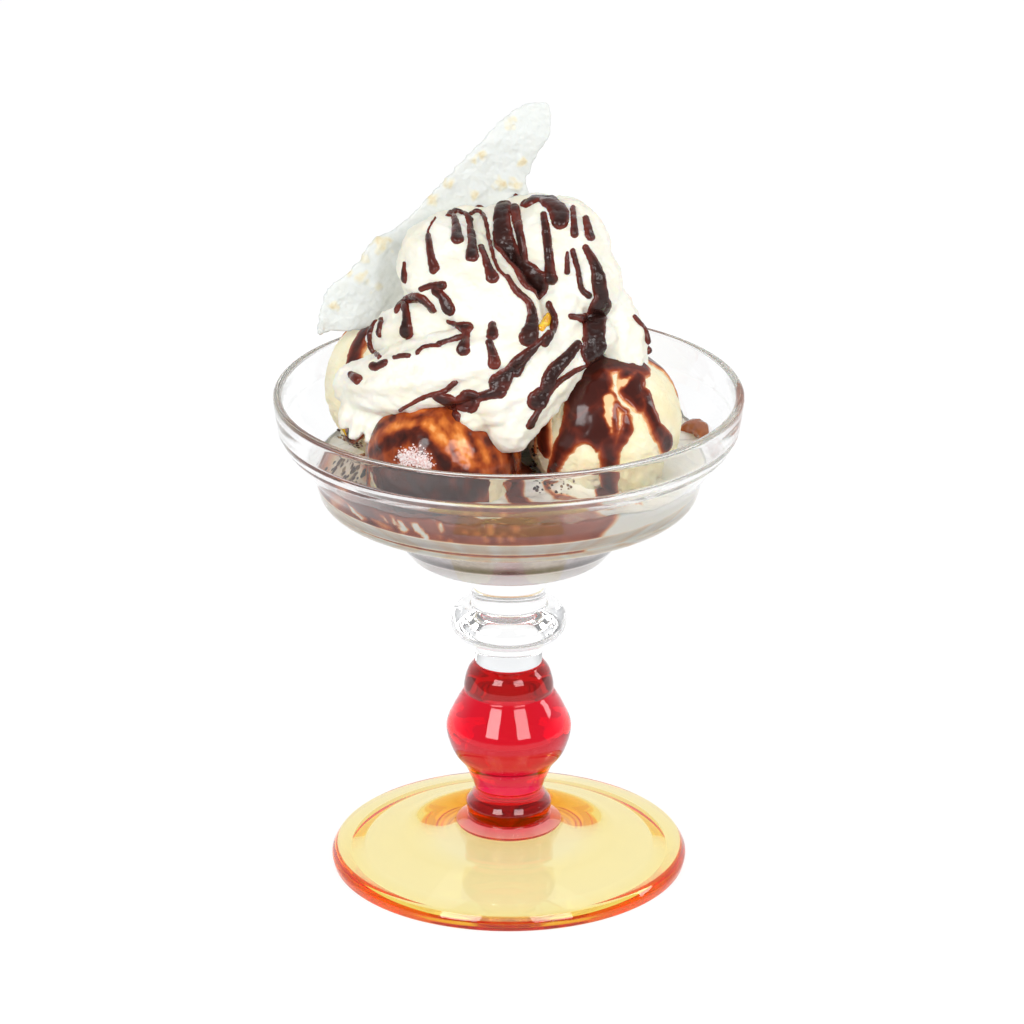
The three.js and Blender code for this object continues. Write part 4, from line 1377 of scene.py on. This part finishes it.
def strand(surface, seen, widths, eye=EYE):
    """A stroke with points close together, so that it follows every fold under it. It ends in a
    drop that is fatter than the run behind it, and its width wanders a little on the way."""
    length = sum((Vector(b) - Vector(a)).length for a, b in zip(seen, seen[1:]))
    count = max(4, int(length / STRAND_STEP) + 1)
    share = np.linspace(0, 1, count)
    run_width = np.interp(share, np.linspace(0, 1, len(widths)), widths)
    drop = DROP_SHARE * np.exp(-((1 - share) * length / DROP_LENGTH) ** 2) * np.clip(run_width - 1, 0, 1)
    wander = 0.16 * noise_at(np.column_stack([share * length, 0 * share + seen[0][0], 0 * share]), 3.0, 2.0)
    return poured(surface, smooth_path(seen, count).tolist(), eye), run_width * FULLER * (1 + drop + wander)


drizzle_lines = [strand(cream_surface, *stroke) for group in FRONT_STROKES.values() for stroke in group]
drizzle_lines += [strand(cream_surface, *stroke, BEHIND) for stroke in BACK_STROKES]


def drizzle_depth(places):
    """How deep the drizzle is at each place."""
    return within(places, drizzle_lines) + 0.12 * noise_at(places, 1.3, 5.0)


drizzle, depth = sauce_skin(cream, drizzle_depth, DRIZZLE_HEIGHT, DRIZZLE_ROUNDING, 1, keep=-1.2)
drawn_thin = np.clip(noise_at(coordinates(drizzle), 9.0, 4.0, 2) + 0.1, 0, 1)
shade = np.clip(0.15 + depth / 1.8, 0, 1) * (1 - 0.7 * drawn_thin)
finish(drizzle, "drizzle_on_cream", drizzled, "whipped_cream", "chocolate_sauce", depth=shade)

# %% [markdown]
# The cream is whiter than the ice cream, and its grain is wider and shallower.
# It is finished last, because the drizzle was cut from a copy of its skin.

# %% Finish of the cream
whipped = soft_food("whipped cream", srgb(242, 240, 229), srgb(238, 233, 214), 500, 0.05, 0.42, 0.4)
finish(cream, "whipped_cream_folds", whipped, "whipped_cream", "whipped_cream")

# %% [markdown]
# ## Crumbs and drops of syrup
#
# Bits of cocoa biscuit lie where the scoops meet the sauce. A crumb is a small
# ball with its points pushed about. Crumbs are strewn along short runs with a
# seeded dice, so that they fall in the same places each time. Where no food is
# under a place, no crumb is made.

# %% Crumbs
CRUMB_RUNS = {
    "between the left scoop and the wall": ([(-47, 130), (-44.5, 127.5), (-41, 125)], 1.5, 70),
    "under the left of the collar": ([(-49, 120.5), (-45.5, 117), (-42, 113.5)], 2.6, 130),
    "left edge of the right scoop": ([(9, 131), (7.5, 125), (7, 119), (6, 113)], 0.7, 60),
    "in front of the right scoop": ([(7, 111.5), (11, 112.5), (17, 111)], 1.3, 34),
    "left of the front scoop": ([(-39.5, 122), (-39.5, 116)], 0.9, 30),
}
CRUMB_SIZES = (0.35, 1.1)
PLACES_ON_A_RUN = 40


def on_the_food(seen):
    """Where a point seen from the front lies on the scoops or the pool, if it does."""
    toward = (Vector((seen[0], 0, seen[1])) - EYE).normalized()
    hits = [surface.ray_cast(EYE, toward) for surface in (*ball_surfaces.values(), pool_surface)]
    hits = [hit for hit in hits if hit[0] is not None]
    return min(hits, key=lambda hit: hit[3])[0] if hits else None


dice = random.Random(11)
crumbs = bmesh.new()
for run, spread, count in CRUMB_RUNS.values():
    line = smooth_path(run, PLACES_ON_A_RUN)
    for _ in range(count):
        across, up = line[dice.randrange(PLACES_ON_A_RUN)]
        place = on_the_food((across + dice.gauss(0, spread * 0.6), up + dice.gauss(0, spread * 0.6)))
        size = dice.uniform(*CRUMB_SIZES)
        shape = Matrix.Diagonal((size, size * dice.uniform(0.6, 1), size * dice.uniform(0.5, 0.9), 1))
        if place is None:
            continue
        at = Matrix.Translation(place) @ shape
        bmesh.ops.create_icosphere(crumbs, subdivisions=2, radius=0.5, matrix=at)
places = coordinates(crumbs)
move_to(crumbs, places + 0.16 * np.column_stack([noise_at(places, 0.5, seed) for seed in (1.0, 2.0, 3.0)]))
biscuit = new_material("cocoa crumbs", Roughness=0.6, IOR=1.4)
link(biscuit, ramp(biscuit, object_noise(biscuit, 420, 3.0), [
    (0.36, srgb(44, 30, 25)), (0.5, srgb(92, 60, 42)), (0.6, srgb(150, 116, 80)),
    (0.7, srgb(214, 192, 150)),
]), "Base Color")
bumped(biscuit, object_noise(biscuit, 1500, 3.0), 0.1)
finish(crumbs, "crumbs", biscuit, "sauce_pool", "chocolate_sauce")

# %% [markdown]
# One drop of golden syrup lies in a fold of the cream, and one on the left
# scoop, by the wall. Each is a short, fat tube along the food under it.

# %% Drops of syrup
SYRUP_DROPS = {
    "syrup_in_the_fold": ("whipped_cream", cream_surface, [(8.9, 159.6), (10.1, 161.3), (11, 163.2)], 1.3),
    "syrup_by_the_wall": ("scoop_back_left", ball_surfaces["scoop_back_left"],
                          [(-47.8, 131), (-47.2, 129.5), (-46.6, 128)], 1.1),
}

syrup = new_material("golden syrup", Roughness=0.1, IOR=1.45, Subsurface_Weight=0.4,
                     Subsurface_Radius=(1.0, 0.6, 0.1), Subsurface_Scale=1.5 * MM)
link(syrup, ramp(syrup, object_noise(syrup, 500, 2.0), [
    (0.35, srgb(226, 158, 36)), (0.6, srgb(250, 212, 60))]), "Base Color")
for name, (node, surface, run, radius) in SYRUP_DROPS.items():
    drop = bmesh.new()
    sausage(drop, poured(surface, run), [radius * 0.8, radius, radius * 0.7])
    bmesh.ops.recalc_face_normals(drop, faces=drop.faces)
    finish(drop, name, syrup, node, "chocolate_sauce")

# %% [markdown]
# ## The wafer
#
# The wafer is a thin, brittle sheet with an uneven outline and a slow wave
# along it. Its two long edges are lines of points, along and across, in
# millimetres from its lower end. Flecks of sugar and nut stand out of the
# front, each with its place and radius.

# %% Outline of the wafer
WAFER_END = Vector((-52.5, 5, 156))
WAFER_TIP = Vector((10.5, 14, 219.5))
WAFER_THICKNESS = 2.2
WAFER_WAVE = 0.9
WAFER_WAVELENGTH = 56
WAFER_RIM_SHARE = 0.6
UPPER_EDGE = [(0, 0.6), (6, 4.8), (11, 7.2), (20, 6.4), (30, 7.5), (36, 5.4), (44, 5), (56, 5.7), (68, 6),
              (80, 5.9), (86, 4), (90, 0.6)]
LOWER_EDGE = [(0, -0.6), (3, -1.6), (7, -5.6), (12, -8.5), (20, -10.5), (40, -15), (60, -16.5), (68, -14.2),
              (71, -10.5), (78, -8), (84, -6.6), (88, -3.4), (90, -0.6)]
FLECKS = [
    (79.3, 3.8, 1.6), (68, 3.1, 1.5), (65.3, 3.9, 1.2), (73.8, -5.9, 1.6), (65.2, -6.3, 1.8),
    (68, -9.2, 1.7), (58.6, -3.1, 1.5), (55.7, 3.7, 1.5), (48.9, 3.9, 1.7), (30.9, 5.5, 2.9),
    (24.5, 6.5, 1.7), (18.4, 6.8, 1.4), (20.2, 3.2, 1.9), (21.2, -1.6, 1.6), (9.1, 2.8, 1.6),
    (37, -6, 1.3), (44, -9, 1.2), (52, -12, 1.4),
]


def flecked(flat, places, ragged, size):
    """How far each place of the sheet lies inside a fleck, 0 to 1."""
    best = np.zeros(len(flat))
    for u, v, radius in FLECKS:
        off = np.hypot(flat[:, 0] - u, flat[:, 1] - v) / radius
        best = np.maximum(best, np.clip(1.25 - off + ragged * noise_at(places, size, u), 0, 1))
    return best


wafer_ahead = (WAFER_TIP - WAFER_END).normalized()
wafer_face = (Vector((0, -1, 0)) + wafer_ahead * wafer_ahead.y).normalized()
wafer_up = wafer_face.cross(wafer_ahead).normalized()
print("the wafer is", round((WAFER_TIP - WAFER_END).length, 1), "mm long")

# %% [markdown]
# A flat grid is drawn to the outline, and a second one behind it gives the
# thickness. Both thin out to a round rim, where they are merged. Blisters and
# flecks raise them, each on its own side. A Solidify modifier would give the
# thickness too, but with a square rim and the same blisters on both faces.

# %% Wafer
SHEET_LONG, SHEET_WIDE = 300, 80

sheet = bmesh.new()
bmesh.ops.create_grid(sheet, x_segments=SHEET_LONG, y_segments=SHEET_WIDE, size=0.5)
back_side = bmesh.ops.duplicate(sheet, geom=sheet.verts[:] + sheet.edges[:] + sheet.faces[:])
bmesh.ops.reverse_faces(sheet, faces=[g for g in back_side["geom"] if isinstance(g, bmesh.types.BMFace)])
front_count = len(sheet.verts) // 2
sheet.verts.ensure_lookup_table()

grid = coordinates(sheet) + 0.5
along, row = grid[:, 0], grid[:, 1]
facing = np.where(np.arange(len(grid)) < front_count, 1.0, -1.0)
steps = np.linspace(0, 1, SHEET_LONG + 1)
upper, lower = (smooth_path(edge, SHEET_LONG + 1) for edge in (UPPER_EDGE, LOWER_EDGE))
high, deep = (np.column_stack([np.interp(along, steps, edge[:, k]) for k in range(2)])
              for edge in (upper, lower))
flat = deep + (high - deep) * row[:, None]
rough_edge = 0.5 * noise_at(np.column_stack([flat, 0 * row]), 2.2, 3.0, 2)
flat[:, 1] += rough_edge * np.abs(2 * row - 1) ** 3
across = np.minimum(row, 1 - row) * np.maximum(high[:, 1] - deep[:, 1], 0.1)
inward = np.minimum(across, np.minimum(along, 1 - along) * 90)
rim = np.sqrt(np.clip(1 - (1 - np.clip(inward / 1.0, 0, 1)) ** 2, 0, 1))
swell = WAFER_RIM_SHARE + (1 - WAFER_RIM_SHARE) * np.clip(inward / 4, 0, 1)
blisters = 0.35 * noise_at(np.column_stack([flat, 3 * facing]), 3.0, 2.0, 3)
on_sheet = np.column_stack([flat, 0 * row])
fleck_front = flecked(flat, on_sheet, 0.35, 0.8) * (facing > 0)
half = WAFER_THICKNESS / 2 * swell * rim + (blisters + 0.55 * fleck_front) * rim
wave = WAFER_WAVE * (np.sin(2 * math.pi * flat[:, 0] / WAFER_WAVELENGTH) + noise_at(on_sheet, 8, 3.3))
places = np.array(WAFER_END) + np.outer(flat[:, 0], wafer_ahead) + np.outer(flat[:, 1], wafer_up)
places += np.outer(wave + facing * half, wafer_face)
move_to(sheet, places)
bmesh.ops.remove_doubles(sheet, verts=sheet.verts, dist=0.004)
bmesh.ops.recalc_face_normals(sheet, faces=sheet.faces)

places = coordinates(sheet)
local = places - np.array(WAFER_END)
flat = np.column_stack([local @ np.array(wafer_ahead), local @ np.array(wafer_up)])
fleck = flecked(flat, places, 0.9, 1.6)
print("the sheet has", len(sheet.verts), "vertices")

# %% [markdown]
# The wafer is a cool white, and only its flecks go over to pale gold. Light
# sinks in a little, so that the thin rim doesn't turn dark.

# %% Finish of the wafer
crisp = new_material("white wafer", Roughness=0.45, IOR=1.4, Subsurface_Weight=0.4,
                     Subsurface_Radius=(1.0, 0.9, 0.8), Subsurface_Scale=2 * MM)
crumbly = math_node(crisp, "MULTIPLY", object_noise(crisp, 420, 4.0, 0.6), attribute(crisp, "fleck"))
link(crisp, ramp(crisp, crumbly, [
    (0.05, srgb(217, 220, 217)), (0.3, srgb(222, 219, 202)), (0.5, srgb(220, 211, 182)),
    (0.68, srgb(212, 196, 160)),
]), "Base Color")
bumped(crisp, object_noise(crisp, 330, 5.0, 0.6), 0.2)
finish(sheet, "wafer_sheet", crisp, "wafer", "white_wafer", fleck=fleck)
